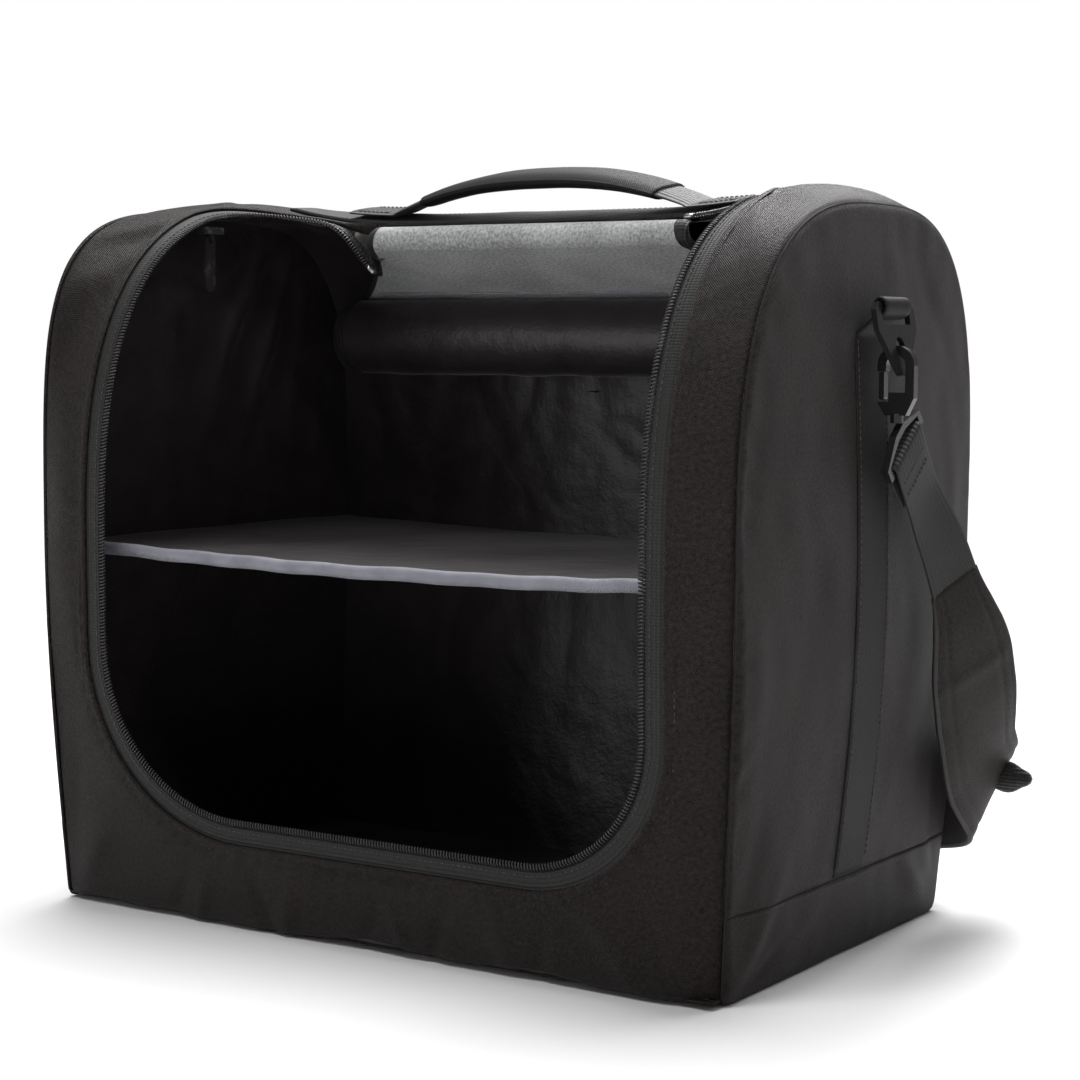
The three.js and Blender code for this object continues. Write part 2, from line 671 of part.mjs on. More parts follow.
// Side webbing: sewn up the side, then looped round the ring's bar
function webbingPath() {
  const lift = SEAT + WEB_THICK / 2;
  const hookReach = HOOK_BEND + HOOK_WIRE / 2 - RING_HEIGHT / 2 * Math.sin(radians(RING_SWING));
  const besideHook = sideX(RING_BAR_Z - RING_HEIGHT - HOOK_LEG) + lift + WEB_THICK / 2;
  const ringX = Math.max(sideX(RING_BAR_Z) + RING_STANDOFF, besideHook + HOOK_CLEARANCE + hookReach);
  const foot = SIDE_BAND_HEIGHT + 2;
  const leave = RING_BAR_Z - 14;
  const points = [];
  for (const share of [0, 0.2, 0.4, 0.6, 0.8, 1]) {
    const z = lerp(foot, leave, share);
    points.push(new THREE.Vector3(sideX(z) + lift, FITTING_Y, z));
  }
  const across = RING_THICK / 2 + GAP + WEB_THICK / 2 + 0.9;
  const over = RING_BAR / 2 + GAP + WEB_THICK / 2 + 1;
  const loopAt = (x, z) => points.push(new THREE.Vector3(ringX + x, FITTING_Y, RING_BAR_Z + z));
  loopAt(-across - 0.6, -over - 1.5);
  for (let angle = 180; angle >= -60; angle -= 30) {
    loopAt(across * Math.cos(radians(angle)), over * Math.sin(radians(angle)));
  }
  loopAt(-0.4, -over - 0.9);
  loopAt(-1.9, -over - 1.4);
  return { points, ringX };
}

function makeSideWebbing() {
  const { points, ringX } = webbingPath();
  const straight = 5;
  const width = (i) => (i < straight ? WEB_WIDTH : LOOP_WIDTH);
  const rings = stationsAlong(points, () => Y_AXIS, width, () => WEB_THICK).map(plainRing);
  addPair("side_webbing", loft(rings), webbing);
  return ringX;
}

// Flat plate whose outline is drawn in (y, z), of a given thickness about x
function sidePlate(shape, x, thick, segments = 6) {
  const geometry = slab(shape, thick, segments);
  geometry.applyMatrix4(new THREE.Matrix4().makeBasis(Y_AXIS, Z_AXIS, X_AXIS));
  geometry.translate(x - thick / 2, 0, 0);
  return geometry;
}

function makeRing(ringX) {
  const half = RING_WIDTH / 2;
  const top = RING_BAR_Z + RING_BAR / 2;
  const tip = top - RING_HEIGHT;
  const holeZ = tip + RING_LAND + RING_HOLE;
  const slotTop = RING_BAR_Z - RING_BAR / 2;
  const slotHalf = LOOP_WIDTH / 2 + 1.5;
  const y = FITTING_Y;
  const shape = new THREE.Shape();
  shape.moveTo(y - half + 4, top);
  shape.lineTo(y - half, top - 4);
  shape.lineTo(y - half, top - 15);
  shape.lineTo(y - RING_HOLE - 1, tip + 3);
  shape.lineTo(y - 3, tip);
  shape.lineTo(y + 3, tip);
  shape.lineTo(y + RING_HOLE + 1, tip + 3);
  shape.lineTo(y + half, top - 15);
  shape.lineTo(y + half, top - 4);
  shape.lineTo(y + half - 4, top);
  const slot = new THREE.Path();
  slot.moveTo(y - slotHalf, slotTop);
  slot.lineTo(y - slotHalf, slotTop - RING_SLOT);
  slot.lineTo(y + slotHalf, slotTop - RING_SLOT);
  slot.lineTo(y + slotHalf, slotTop);
  const hole = new THREE.Path();
  hole.absarc(y, holeZ, RING_HOLE, 0, 2 * Math.PI, true);
  shape.holes.push(slot, hole);
  const ring = sidePlate(shape, 0, RING_THICK);
  ring.translate(0, 0, -RING_BAR_Z);
  ring.rotateY(-radians(RING_SWING));
  ring.translate(ringX, 0, RING_BAR_Z);
  addPair("strap_ring", ring, plastic);
  const drop = RING_BAR_Z - holeZ;
  return {
    hookX: ringX + drop * Math.sin(radians(RING_SWING)),
    holeZ: RING_BAR_Z - drop * Math.cos(radians(RING_SWING)),
  };
}

// Snap hook in the (x, z) plane: a bend through the ring, a spine, a body and a swivel stem
function makeHook(hookX, holeZ) {
  const bendZ = holeZ - RING_HOLE + GAP + 1.2 - (HOOK_BEND - HOOK_WIRE / 2);
  const [outer, inner] = [HOOK_BEND + HOOK_WIRE / 2, HOOK_BEND - HOOK_WIRE / 2];
  const bodyTop = bendZ - HOOK_LEG;
  const bodyFoot = bodyTop - HOOK_BODY;
  const shape = new THREE.Shape();
  shape.moveTo(-outer, bendZ - 3);
  shape.lineTo(-inner, bendZ - 3);
  shape.lineTo(-inner, bendZ);
  shape.absarc(0, bendZ, inner, Math.PI, 0, true);
  shape.lineTo(inner, bodyTop);
  shape.lineTo(-inner + 1.5, bodyTop);
  shape.lineTo(-inner + 1.5, bodyTop - 5);
  shape.lineTo(-outer, bodyTop - 5);
  shape.lineTo(-6, bodyFoot);
  shape.lineTo(6, bodyFoot);
  shape.lineTo(outer, bodyTop - 3);
  shape.lineTo(outer, bendZ);
  shape.absarc(0, bendZ, outer, 0, Math.PI, false);
  const geometry = slab(shape, HOOK_WIRE, 10);
  geometry.rotateX(Math.PI / 2);
  geometry.translate(hookX, FITTING_Y + HOOK_WIRE / 2, 0);
  const stem = new THREE.CylinderGeometry(STEM_RADIUS, STEM_RADIUS, STEM_LENGTH + 1, 10);
  stem.rotateX(Math.PI / 2);
  stem.translate(hookX, FITTING_Y, bodyFoot - STEM_LENGTH / 2 + 0.5);
  addPair("snap_hook", solidOf(geometry).add(solidOf(stem)), plastic);

  const [pivotZ, reach] = [bodyTop - 2.4, bendZ - 3 - GAP];
  const gate = new THREE.Shape();
  const gateX = -HOOK_BEND;
  gate.moveTo(gateX - GATE_THICK / 2, reach);
  gate.lineTo(gateX - GATE_THICK / 2, pivotZ);
  gate.absarc(gateX, pivotZ, GATE_THICK / 2, Math.PI, 2 * Math.PI, false);
  gate.lineTo(gateX + GATE_THICK / 2, reach);
  const lever = slab(gate, HOOK_WIRE, 8);
  lever.rotateX(Math.PI / 2);
  lever.translate(hookX, FITTING_Y + HOOK_WIRE / 2, 0);
  addPair("hook_gate", lever, plastic);
  return bodyFoot - STEM_LENGTH;
}

// Eye below the swivel, tilted the way the strap leaves it
function makeEye(hookX, stemFoot) {
  const tilt = radians(EYE_TILT);
  const bar = new THREE.Vector2(Math.cos(tilt), Math.sin(tilt));
  const away = new THREE.Vector2(Math.sin(tilt), -Math.cos(tilt));
  const head = STEM_RADIUS * Math.sin(tilt) + GAP;
  const origin = new THREE.Vector2(FITTING_Y, stemFoot - head / Math.cos(tilt));
  const at = (u, v) => origin.clone().addScaledVector(bar, u).addScaledVector(away, v);
  const trace = (path, corners) => {
    corners.forEach(([u, v], i) => {
      const p = at(u, v);
      if (i === 0) path.moveTo(p.x, p.y);
      else path.lineTo(p.x, p.y);
    });
    return path;
  };
  const half = EYE_WIDTH / 2;
  const shape = trace(new THREE.Shape(), [
    [-half, EYE_DEPTH - 8], [-half, EYE_DEPTH], [half, EYE_DEPTH], [half, EYE_DEPTH - 8], [6, 0], [-6, 0],
  ]);
  shape.holes.push(trace(new THREE.Path(), [
    [-5, EYE_BAR], [5, EYE_BAR], [half - EYE_BAR, EYE_DEPTH - 7.5], [half - EYE_BAR, EYE_DEPTH - EYE_BAR],
    [-half + EYE_BAR, EYE_DEPTH - EYE_BAR], [-half + EYE_BAR, EYE_DEPTH - 7.5],
  ]));
  addPair("hook_eye", sidePlate(shape, hookX, EYE_THICK), plastic);
  return { origin, bar, away };
}

// Shoulder strap: round the eye's bar, back and down past the rear corner, and behind the case.
// Columns: out beyond the side, share of the way to the rear line, share of the eye's height,
// then the direction across the strap.
const SIDE_ROUTE = [
  { out: 21, back: 0.14, up: 0.87, across: [0.2, 0.76, 0.6] },
  { out: 25, back: 0.29, up: 0.69, across: [0.35, 0.75, 0.5] },
  { out: 22, back: 0.45, up: 0.52, across: [0.4, 0.7, 0.5] },
  { out: 15, back: 0.63, up: 0.38, across: [0.35, 0.65, 0.65] },
  { out: 6, back: 0.87, up: 0.28, across: [0.25, 0.45, 0.85] },
];
const REAR_ROUTE = [
  { along: 0.84, up: 0.235, across: [0, 0.1, 1] },
  { along: 0.55, up: 0.18, across: [0, 0, 1] },
  { along: 0.25, up: 0.15, across: [0, 0, 1] },
  { along: 0, up: 0.145, across: [0, 0, 1] },
];

function strapRoute(hookX, eye) {
  const side = sideX(SIDE_CENTRE_Z);
  const rearLine = REAR_BULGE + STRAP_STANDOFF;
  const eyeAt = (v, x) => {
    const p = eye.origin.clone().addScaledVector(eye.away, v);
    return new THREE.Vector3(x, p.x, p.y);
  };
  const across = new THREE.Vector3(0, eye.bar.x, eye.bar.y);
  const end = eyeAt(EYE_DEPTH + STRAP_END, hookX + 1.6);
  const rows = [
    { at: eyeAt(EYE_DEPTH + 14, hookX + 2.2), across },
    { at: end, across },
  ];
  for (const row of SIDE_ROUTE) {
    const at = new THREE.Vector3(side + row.out, lerp(end.y, rearLine, row.back), end.z * row.up);
    rows.push({ at, across: new THREE.Vector3(...row.across) });
  }
  for (const row of REAR_ROUTE) {
    const at = new THREE.Vector3(side * row.along, rearLine, end.z * row.up);
    rows.push({ at, across: new THREE.Vector3(...row.across) });
  }
  const mirroredRows = rows.slice(0, -1).toReversed().map(({ at, across: a }) => ({
    at: new THREE.Vector3(-at.x, at.y, at.z), across: new THREE.Vector3(-a.x, a.y, a.z),
  }));
  return [...rows, ...mirroredRows];
}

function makeStrap(hookX, eye) {
  const rows = strapRoute(hookX, eye);
  const centre = new THREE.CatmullRomCurve3(rows.map((row) => row.at), false, "centripetal");
  const steps = 60;
  const sampled = Array.from({ length: steps + 1 }, (_, i) => {
    const share = centre.getUtoTmapping(i / steps);
    const place = share * (rows.length - 1);
    const row = Math.min(Math.floor(place), rows.length - 2);
    const across = rows[row].across.clone().normalize()
      .lerp(rows[row + 1].across.clone().normalize(), place - row);
    return { at: centre.getPoint(share), across };
  });
  const piece = (from, to, width, thick, ends) => {
    const inside = sampled.filter((_, i) => i / steps > from + 0.004 && i / steps < to - 0.004);
    const cutAt = (u) => {
      const i = Math.min(Math.floor(u * steps), steps - 1);
      const f = u * steps - i;
      return {
        at: sampled[i].at.clone().lerp(sampled[i + 1].at, f),
        across: sampled[i].across.clone().lerp(sampled[i + 1].across, f),
      };
    };
    const all = [cutAt(from), ...inside, cutAt(to)];
    const taper = (i) => (i === 0 || i === all.length - 1 ? ends : 1);
    return stationsAlong(all.map((s) => s.at), (i) => all[i].across,
      (i) => width * taper(i), (i) => thick * taper(i));
  };
  const length = centre.getLength();
  const gap = GAP / length;
  const right = piece(0, PAD_START - gap, WEB_WIDTH, WEB_THICK, 1);
  add("shoulder_strap_right", loft([...eyeLoop(hookX, eye, 1), ...right].map(plainRing)), webbing);
  const leftLoop = eyeLoop(hookX, eye, -1);
  const left = piece(PAD_END + gap, 1, WEB_WIDTH, WEB_THICK, 1);
  add("shoulder_strap_left", loft([...left, ...leftLoop].map(plainRing)), webbing);
  const pad = piece(PAD_START, PAD_END, PAD_WIDTH, PAD_THICK, 0.72);
  add("shoulder_pad", loft(pad.map(barRing)), shellCloth);
  const grown = piece(PAD_START, PAD_END, PAD_WIDTH, PAD_THICK + 2 * GAP, 0.72);
  return solidOf(loft(grown.map(barRing)));
}

// The strap's end, up behind the eye's bar and round it
function eyeLoop(hookX, eye, sign) {
  const barV = EYE_DEPTH - EYE_BAR / 2;
  const reach = EYE_BAR / 2 + GAP + WEB_THICK / 2 + 0.3;
  const route = [
    [EYE_DEPTH + 24, -1.2], [EYE_DEPTH + 6, 0.6 - reach], [barV - 0.3 * reach, -reach],
    [barV - 0.85 * reach, -0.8 * reach], [barV - 1.05 * reach, 0], [barV - 0.85 * reach, 0.8 * reach],
    [barV - 0.3 * reach, reach], [EYE_DEPTH + 14, 2.2],
  ];
  const points = route.map(([v, x]) => {
    const p = eye.origin.clone().addScaledVector(eye.away, v);
    return new THREE.Vector3(sign * (hookX + x), p.x, p.y);
  });
  const across = new THREE.Vector3(0, eye.bar.x, eye.bar.y);
  const ordered = sign > 0 ? points : points.toReversed();
  const stations = stationsAlong(ordered, () => across, () => WEB_WIDTH, () => WEB_THICK);
  return sign > 0 ? stations.slice(0, -1) : stations.slice(1);
}

// Small leaf-shaped tab that stands out from the pad's face near the rear corner
function makeKeeper(pad) {
  const leaf = new THREE.Shape();
  KEEPER.forEach(([x, z], i) => (i === 0 ? leaf.moveTo(x, z) : leaf.lineTo(x, z)));
  const geometry = slab(leaf, KEEPER_THICK, 1);
  geometry.rotateX(Math.PI / 2);
  geometry.translate(sideX(SIDE_CENTRE_Z), KEEPER_Y + KEEPER_THICK / 2, 0);
  add("pad_keeper", solidOf(geometry).subtract(pad), plastic);
}

makeShell();
makeZip();
makeFlap();
makeShelf();
makeTop();
makeSliders();
const ringX = makeSideWebbing();
const { hookX, holeZ } = makeRing(ringX);
const stemFoot = makeHook(hookX, holeZ);
const eye = makeEye(hookX, stemFoot);
makeKeeper(makeStrap(hookX, eye));

export default group;
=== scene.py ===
"""A soft carrier case with arched sides, its front unzipped and rolled up inside.

The outline functions follow the case's own named sizes, so every sewn piece lies on the same
form. All lengths are in metres, x to the case's right, y to its back and z up.
"""
import math

import bmesh
import bpy
import numpy as np
from mathutils import Matrix, Vector


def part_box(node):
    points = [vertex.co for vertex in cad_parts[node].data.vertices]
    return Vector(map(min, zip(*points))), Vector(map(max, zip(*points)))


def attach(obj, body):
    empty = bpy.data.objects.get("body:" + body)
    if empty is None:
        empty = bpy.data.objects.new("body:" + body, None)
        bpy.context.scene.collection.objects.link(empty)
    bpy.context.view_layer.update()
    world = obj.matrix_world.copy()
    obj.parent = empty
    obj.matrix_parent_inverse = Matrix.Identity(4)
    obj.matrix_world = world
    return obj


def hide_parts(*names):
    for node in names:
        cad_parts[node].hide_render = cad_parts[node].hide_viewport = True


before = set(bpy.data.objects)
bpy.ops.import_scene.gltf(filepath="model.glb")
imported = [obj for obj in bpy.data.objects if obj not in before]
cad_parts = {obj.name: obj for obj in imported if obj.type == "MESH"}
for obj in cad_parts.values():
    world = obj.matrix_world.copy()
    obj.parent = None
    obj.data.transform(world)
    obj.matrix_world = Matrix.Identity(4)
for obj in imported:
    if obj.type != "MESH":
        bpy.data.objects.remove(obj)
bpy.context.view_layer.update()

bl_info = {
    "name": "Carrier case",
    "version": (1, 0, 0),
    "blender": (4, 5, 0),
    "location": "View3D > Sidebar > Case",
    "description": "Soft goods and hardware of an arched carrier case",
    "category": "Object",
}

MM = 0.001
ROOT = "case"

# Body of the case
HEIGHT = 416 * MM
BASE_WIDTH = 438 * MM
BULGE_WIDTH = 458 * MM
BULGE_HEIGHT = 230 * MM
FRONT_BASE = 131 * MM
FRONT_BULGE = 138 * MM
REAR_BASE = 134 * MM
REAR_BULGE = 152 * MM
FRONT_SPRING = 215 * MM
REAR_SPRING = 255 * MM
CREST_Y = 30 * MM
FRONT_ROUNDNESS = 2.6
REAR_ROUNDNESS = 3.0
SIDE_BULGE = 9 * MM
SIDE_CENTRE = (5 * MM, 190 * MM)
TOP_SAG = 7 * MM
HINGE_DIP = 9 * MM
DIP_REACH = 45 * MM
# The seams of the two arches: how far the front seam lies behind the front face, how far the
# crest lies below the middle one, and the roundness of the front corner.
LEFT_SEAM = (3 * MM, 7 * MM, 4.2)
RIGHT_SEAM = (13 * MM, 11 * MM, 2.9)
BASE_CHAMFER = 4 * MM
CLOTH_THICK = 1.6 * MM
LINING_DEPTH = 3.2 * MM

# Opening and zip
OPENING_HALF = 195 * MM
OPENING_SILL = 47 * MM
CORNER_LEFT = 110 * MM
CORNER_RIGHT = 87 * MM
HINGE_Y = 35 * MM
HINGE_CORNER = 84 * MM
TAPE_WIDTH = 11 * MM
COIL_DEPTH = 1.1 * MM
COIL_MARGIN = 13.3 * MM
COIL_PITCH = 1.9 * MM
COIL_RADIUS = 1.5 * MM
FILAMENT_RADIUS = 0.52 * MM
TAPE_THICK = 0.7 * MM

FITTING_Y = 5 * MM
SIDE_BAND_HEIGHT = 45 * MM
REAR_SEAM_HEIGHT = 300 * MM
CLOTH_STEP = 3 * MM
SIDES = (("right", 1), ("left", -1))


class CaseColours(bpy.types.PropertyGroup):
    """Colours of the case's cloths and mouldings, as sRGB hex values"""

    shell: bpy.props.StringProperty(
        name="Shell cloth", description="Charcoal polyester of the outside", default="201a19")
    lining: bpy.props.StringProperty(
        name="Lining", description="Black satin inside the case", default="2a2425")
    flap: bpy.props.StringProperty(
        name="Flap cloth", description="Grey backing cloth of the front flap", default="9ea09f")
    webbing: bpy.props.StringProperty(
        name="Webbing", description="Ribbed strap and handle webbing", default="1b1b1a")
    moulding: bpy.props.StringProperty(
        name="Mouldings", description="Hooks, eyes and rings", default="1b1b1b")
    piping: bpy.props.StringProperty(
        name="Piping", description="Rounded front edge of the shelf", default="80808a")
    floor: bpy.props.StringProperty(
        name="Floor", description="Plain studio floor", default="dedede")


class CaseSizes(bpy.types.PropertyGroup):
    """Sizes of the case's trimmings that a maker would change"""

    shelf_height: bpy.props.FloatProperty(
        name="Shelf height", description="Height of the shelf at its ends", default=0.21,
        unit="LENGTH")
    shelf_front: bpy.props.FloatProperty(
        name="Shelf front", description="How far the shelf's piping lies ahead of the middle",
        default=0.115, unit="LENGTH")
    shelf_sag: bpy.props.FloatProperty(
        name="Shelf sag", description="How far the shelf sags in its middle", default=0.005,
        unit="LENGTH")
    piping_radius: bpy.props.FloatProperty(
        name="Piping radius", description="Radius of the shelf's rounded edge", default=0.0038,
        unit="LENGTH")
    strap_width: bpy.props.FloatProperty(
        name="Strap width", description="Width of the shoulder strap", default=0.038,
        unit="LENGTH")
    pad_width: bpy.props.FloatProperty(
        name="Pad width", description="Width of the shoulder pad", default=0.060, unit="LENGTH")
    handle_width: bpy.props.FloatProperty(
        name="Handle width", description="Width of the carry handle", default=0.032,
        unit="LENGTH")


def colours():
    """The case's colours, as the panel shows them."""
    return bpy.context.scene.case_colours


def sizes():
    """The trimmings' sizes, as the panel shows them."""
    return bpy.context.scene.case_sizes


# Materials


def linear(hex_colour, factor=1.0):
    """A linear colour from an sRGB hex value, darkened or lightened by the factor."""
    parts = [int(hex_colour[i:i + 2], 16) / 255 for i in (0, 2, 4)]
    tones = [c / 12.92 if c <= 0.04045 else ((c + 0.055) / 1.055) ** 2.4 for c in parts]
    return [tone * factor for tone in tones] + [1.0]


def add_node(tree, kind, settings=None, inputs=None):
    """Adds a node, sets its own settings, and sets or links its inputs."""
    made = tree.nodes.new(kind)
    for name, value in (settings or {}).items():
        setattr(made, name, value)
    for name, value in (inputs or {}).items():
        if isinstance(value, bpy.types.NodeSocket):
            tree.links.new(value, made.inputs[name])
        else:
            made.inputs[name].default_value = value
    return made


def signal_socket(tree, place, kind, size, *rest):
    """One signal of a pattern: soft noise, or threads that run along or across the cloth.

    Noise has patches of about the given size, then a detail and a roughness. Threads have a pitch
    and the way across them. A weave is two sets of threads that pass over and under each other.
    """
    if kind == "noise":
        detail, roughness = rest or (3.0, 0.55)
        noise = add_node(tree, "ShaderNodeTexNoise", inputs={
            "Vector": place, "Scale": 1 / size, "Detail": detail, "Roughness": roughness})
        return noise.outputs["Fac"]
    if kind == "weave":
        sets = [signal_socket(tree, place, "threads", size, way) for way in ((1, 0), (0, 1))]
        return add_node(tree, "ShaderNodeMath", {"operation": "MULTIPLY"},
                        {0: sets[0], 1: sets[1]}).outputs[0]
    step = 2 * math.pi / size
    phase = add_node(tree, "ShaderNodeVectorMath", {"operation": "DOT_PRODUCT"},
                     {0: place, 1: (rest[0][0] * step, rest[0][1] * step, 0)})
    return add_node(tree, "ShaderNodeMath", {"operation": "SINE"},
                    {0: phase.outputs["Value"]}).outputs[0]


def weighted_sum(tree, sockets, weights):
    """The sum of the signals, each times its weight."""
    total = 0.0
    for socket, weight in zip(sockets, weights):
        if weight:
            total = add_node(tree, "ShaderNodeMath", {"operation": "MULTIPLY_ADD"},
                             {0: socket, 1: weight, 2: total}).outputs[0]
    return total


def patterned(name, signals, tones, finish, span=(0.3, 0.7), weights=(1,), relief=(), depth=0.0,
              strength=1.0, cloth=True, worn_to_metal=False):
    """A material whose colour and relief are weighted sums of its signals.

    The colour goes from the first of the tones to the second as the sum crosses the span. finish
    holds the shader's plain values. Cloth takes its place in metres from the map laid on each
    piece, and the rest from the object's own space.
    """
    made = bpy.data.materials.new(name)
    made.use_nodes = True
    tree = made.node_tree
    shader = tree.nodes["Principled BSDF"]
    if cloth:
        place = add_node(tree, "ShaderNodeUVMap", {"uv_map": "cloth"}).outputs["UV"]
    else:
        place = add_node(tree, "ShaderNodeTexCoord").outputs["Object"]
    sockets = [signal_socket(tree, place, *signal) for signal in signals]
    tone = weighted_sum(tree, sockets, weights)
    ramp = add_node(tree, "ShaderNodeValToRGB", inputs={"Fac": tone})
    for stop, position, colour in zip(ramp.color_ramp.elements, span, tones):
        stop.position = position
        stop.color = colour
    tree.links.new(ramp.outputs["Color"], shader.inputs["Base Color"])
    if worn_to_metal:
        metal = add_node(tree, "ShaderNodeMapRange", inputs={
            "Value": tone, "From Min": span[0], "From Max": span[1]})
        tree.links.new(metal.outputs["Result"], shader.inputs["Metallic"])
    if depth:
        bump = add_node(tree, "ShaderNodeBump", inputs={
            "Height": weighted_sum(tree, sockets, relief), "Distance": depth, "Strength": strength})
        tree.links.new(bump.outputs["Normal"], shader.inputs["Normal"])
    for socket, value in finish.items():
        shader.inputs[socket].default_value = value
    return made


def around_tone(hex_colour, darker, lighter):
    """Two tones of one colour, for the low and the high end of a pattern."""
    return linear(hex_colour, darker), linear(hex_colour, lighter)


def woven_cloth(name, hex_colour, pitch, depth, spread, roughness, sheen):
    """Plain weave, with slubs in its threads and broad patches of tone."""
    return patterned(
        name, [("weave", pitch), ("noise", 2.2 * MM, 2.0, 0.55), ("noise", 60 * MM, 4.0, 0.55)],
        around_tone(hex_colour, 1 - spread, 1 + spread),
        {"Roughness": roughness, "IOR": 1.5, "Specular IOR Level": 0.16, "Sheen Weight": sheen,
         "Sheen Roughness": 0.3},
        (0.3, 0.72), (0.12, 0.75, 0.25), (0.5, 1.0, 0), depth)


def woven_polyester():
    """Coated woven polyester, calendered on the inside: a dull dark face with a fine even grain."""
    # The real threads are 0.6 mm apart. They are drawn at 1.3 mm, or the picture can't show them.
    return woven_cloth("woven_polyester", colours().shell, 1.3 * MM, 0.5 * MM, 0.95, 0.5, 0.07)


def pad_polyester():
    """The same polyester drawn tight over foam, a little smoother from handling."""
    return woven_cloth("pad_polyester", colours().shell, 1.3 * MM, 0.3 * MM, 0.8, 0.56, 0.07)


def grip_cloth():
    """Woven polyester wrapped tight round the webbing: almost black, a little glossy from hands."""
    return woven_cloth("grip_cloth", "141313", 1.4 * MM, 0.16 * MM, 0.3, 0.62, 0.0)


def flat_webbing():
    """The strap's webbing sewn down flat on the side, where its ribs hardly show."""
    return woven_cloth("flat_webbing", colours().webbing, 2.4 * MM, 0.2 * MM, 0.3, 0.6, 0.0)


def satin_lining():
    """Polyester satin, woven with long floats: black, its colour lightened on each raised fold as a
    painted highlight.
    """
    # The colour follows only the broad noise that also raises the folds: a painted highlight along
    # each fold.
    return patterned(
        "satin_lining", [("noise", 1.6 * MM, 2.0, 0.55), ("noise", 22 * MM, 4.0, 0.6)],
        around_tone(colours().lining, 0.75, 1.3),
        {"Roughness": 0.42, "IOR": 1.5, "Sheen Weight": 0.2, "Sheen Roughness": 0.3},
        weights=(0, 1), relief=(0.12, 1), depth=2.2 * MM, strength=0.6)


def brushed_backing():
    """Brushed knit backing over foam: mid grey, fully matt, speckled by its short pile."""
    # The pile's specks are about 0.8 mm across and are drawn at 1.8 mm, so that they show.
    return patterned(
        "brushed_backing", [("noise", 1.8 * MM, 3.0, 0.7), ("noise", 45 * MM)],
        around_tone(colours().flap, 0.55, 1.45), {"Roughness": 0.9, "Sheen Weight": 0.15},
        (0.38, 0.64), (0.7, 0.3), (1, 0), 0.4 * MM)


def ribbed_webbing(name="ribbed_webbing", factor=1.0, pitch=3.2 * MM):
    """Polypropylene webbing: lengthwise ribs crossed by fine picks, with a low gloss."""
    # Ribs stand about 1.6 mm apart on the real strap, and are drawn at twice that to show.
    return patterned(
        name, [("threads", pitch, (1, 0)), ("threads", 1.7 * MM, (0, 1)), ("noise", 3 * MM)],
        around_tone(colours().webbing, 0.72 * factor, 1.35 * factor),
        {"Roughness": 0.6, "IOR": 1.49, "Specular IOR Level": 0.35, "Sheen Weight": 0.03},
        (0.25, 0.75), (0.072, 0.03, 1), (0.6, 0.25, 0), 0.25 * MM)


def zip_tape():
    """Woven polyester zip tape, with finer ribs than the strap."""
    return ribbed_webbing("zip_tape", 0.95, 2.4 * MM)


def edge_tape():
    """Folded grosgrain tape over the pad's raw edge: dark grey, crossed by fine ribs."""
    return ribbed_webbing("edge_tape", 1.5, 2.0 * MM)


def satin_piping():
    """Satin bias tape over a cord: silver grey with a soft highlight along its length."""
    return patterned(
        "satin_piping", [("threads", 1.6 * MM, (1, 1)), ("noise", 18 * MM)],
        around_tone(colours().piping, 0.75, 1.12), {"Roughness": 0.42, "Sheen Weight": 0.15},
        weights=(0.06, 1), relief=(1, 0), depth=0.12 * MM)


def moulded_acetal():
    """Injection-moulded acetal: near-black with a broad soft highlight and a faint mould grain."""
    return patterned(
        "moulded_acetal", [("noise", 1.2 * MM, 2.0, 0.55)],
        around_tone(colours().moulding, 0.85, 1.2), {"Roughness": 0.24, "IOR": 1.48},
        (0.2, 0.8), relief=(1,), depth=0.05 * MM, cloth=False)


def coil_nylon():
    """Drawn nylon filament, wound into a coil: black, with a small glint on every turn."""
    return patterned("coil_nylon", [("noise", 14 * MM)], (linear("1b1a1a"), linear("302e2e")),
                     {"Roughness": 0.38, "IOR": 1.53}, cloth=False)


def enamelled_zinc():
    """Die-cast zinc, stove enamelled black and rubbed bright where fingers hold it."""
    return patterned("enamelled_zinc", [("noise", 4 * MM, 4.0, 0.65)],
                     (linear("1d1d1f"), linear("6f6f70")), {"Roughness": 0.33}, (0.55, 0.75),
                     cloth=False, worn_to_metal=True)


def plated_steel():
    """Pressed steel, nickel plated: a small bright part, dulled by handling."""
    return patterned("plated_steel", [("noise", 1.5 * MM)], (linear("8a8886"), linear("b9b7b4")),
                     {"Metallic": 1.0, "Roughness": 0.28}, cloth=False)


def spun_thread():
    """Spun polyester sewing thread, twisted: dark, and matt against the cloth."""
    return patterned("spun_thread", [("noise", 2 * MM)], (linear("232020"), linear("4a4645")),
                     {"Roughness": 0.75}, cloth=False)


def seam_shade_and_thread():
    """Painted shade at the bottom of a seam: near black, standing for the shadow in the groove as well
    as the cloth edges and thread packed tight.
    """
    return patterned("seam_shade_and_thread", [("noise", 3 * MM)], (linear("0b0a0a"), linear("191717")),
                     {"Roughness": 0.9}, cloth=False)


def studio_paper():
    """Matt seamless paper: plain, pale and even."""
    return patterned("studio_paper", [("noise", 3 * MM)], around_tone(colours().floor, 0.99, 1),
                     {"Roughness": 0.9}, cloth=False)


def material(maker):
    """The material that a maker function gives, made once and then shared."""
    name = maker.__name__
    if name in bpy.data.materials:
        return bpy.data.materials[name]
    return maker()


# Meshes


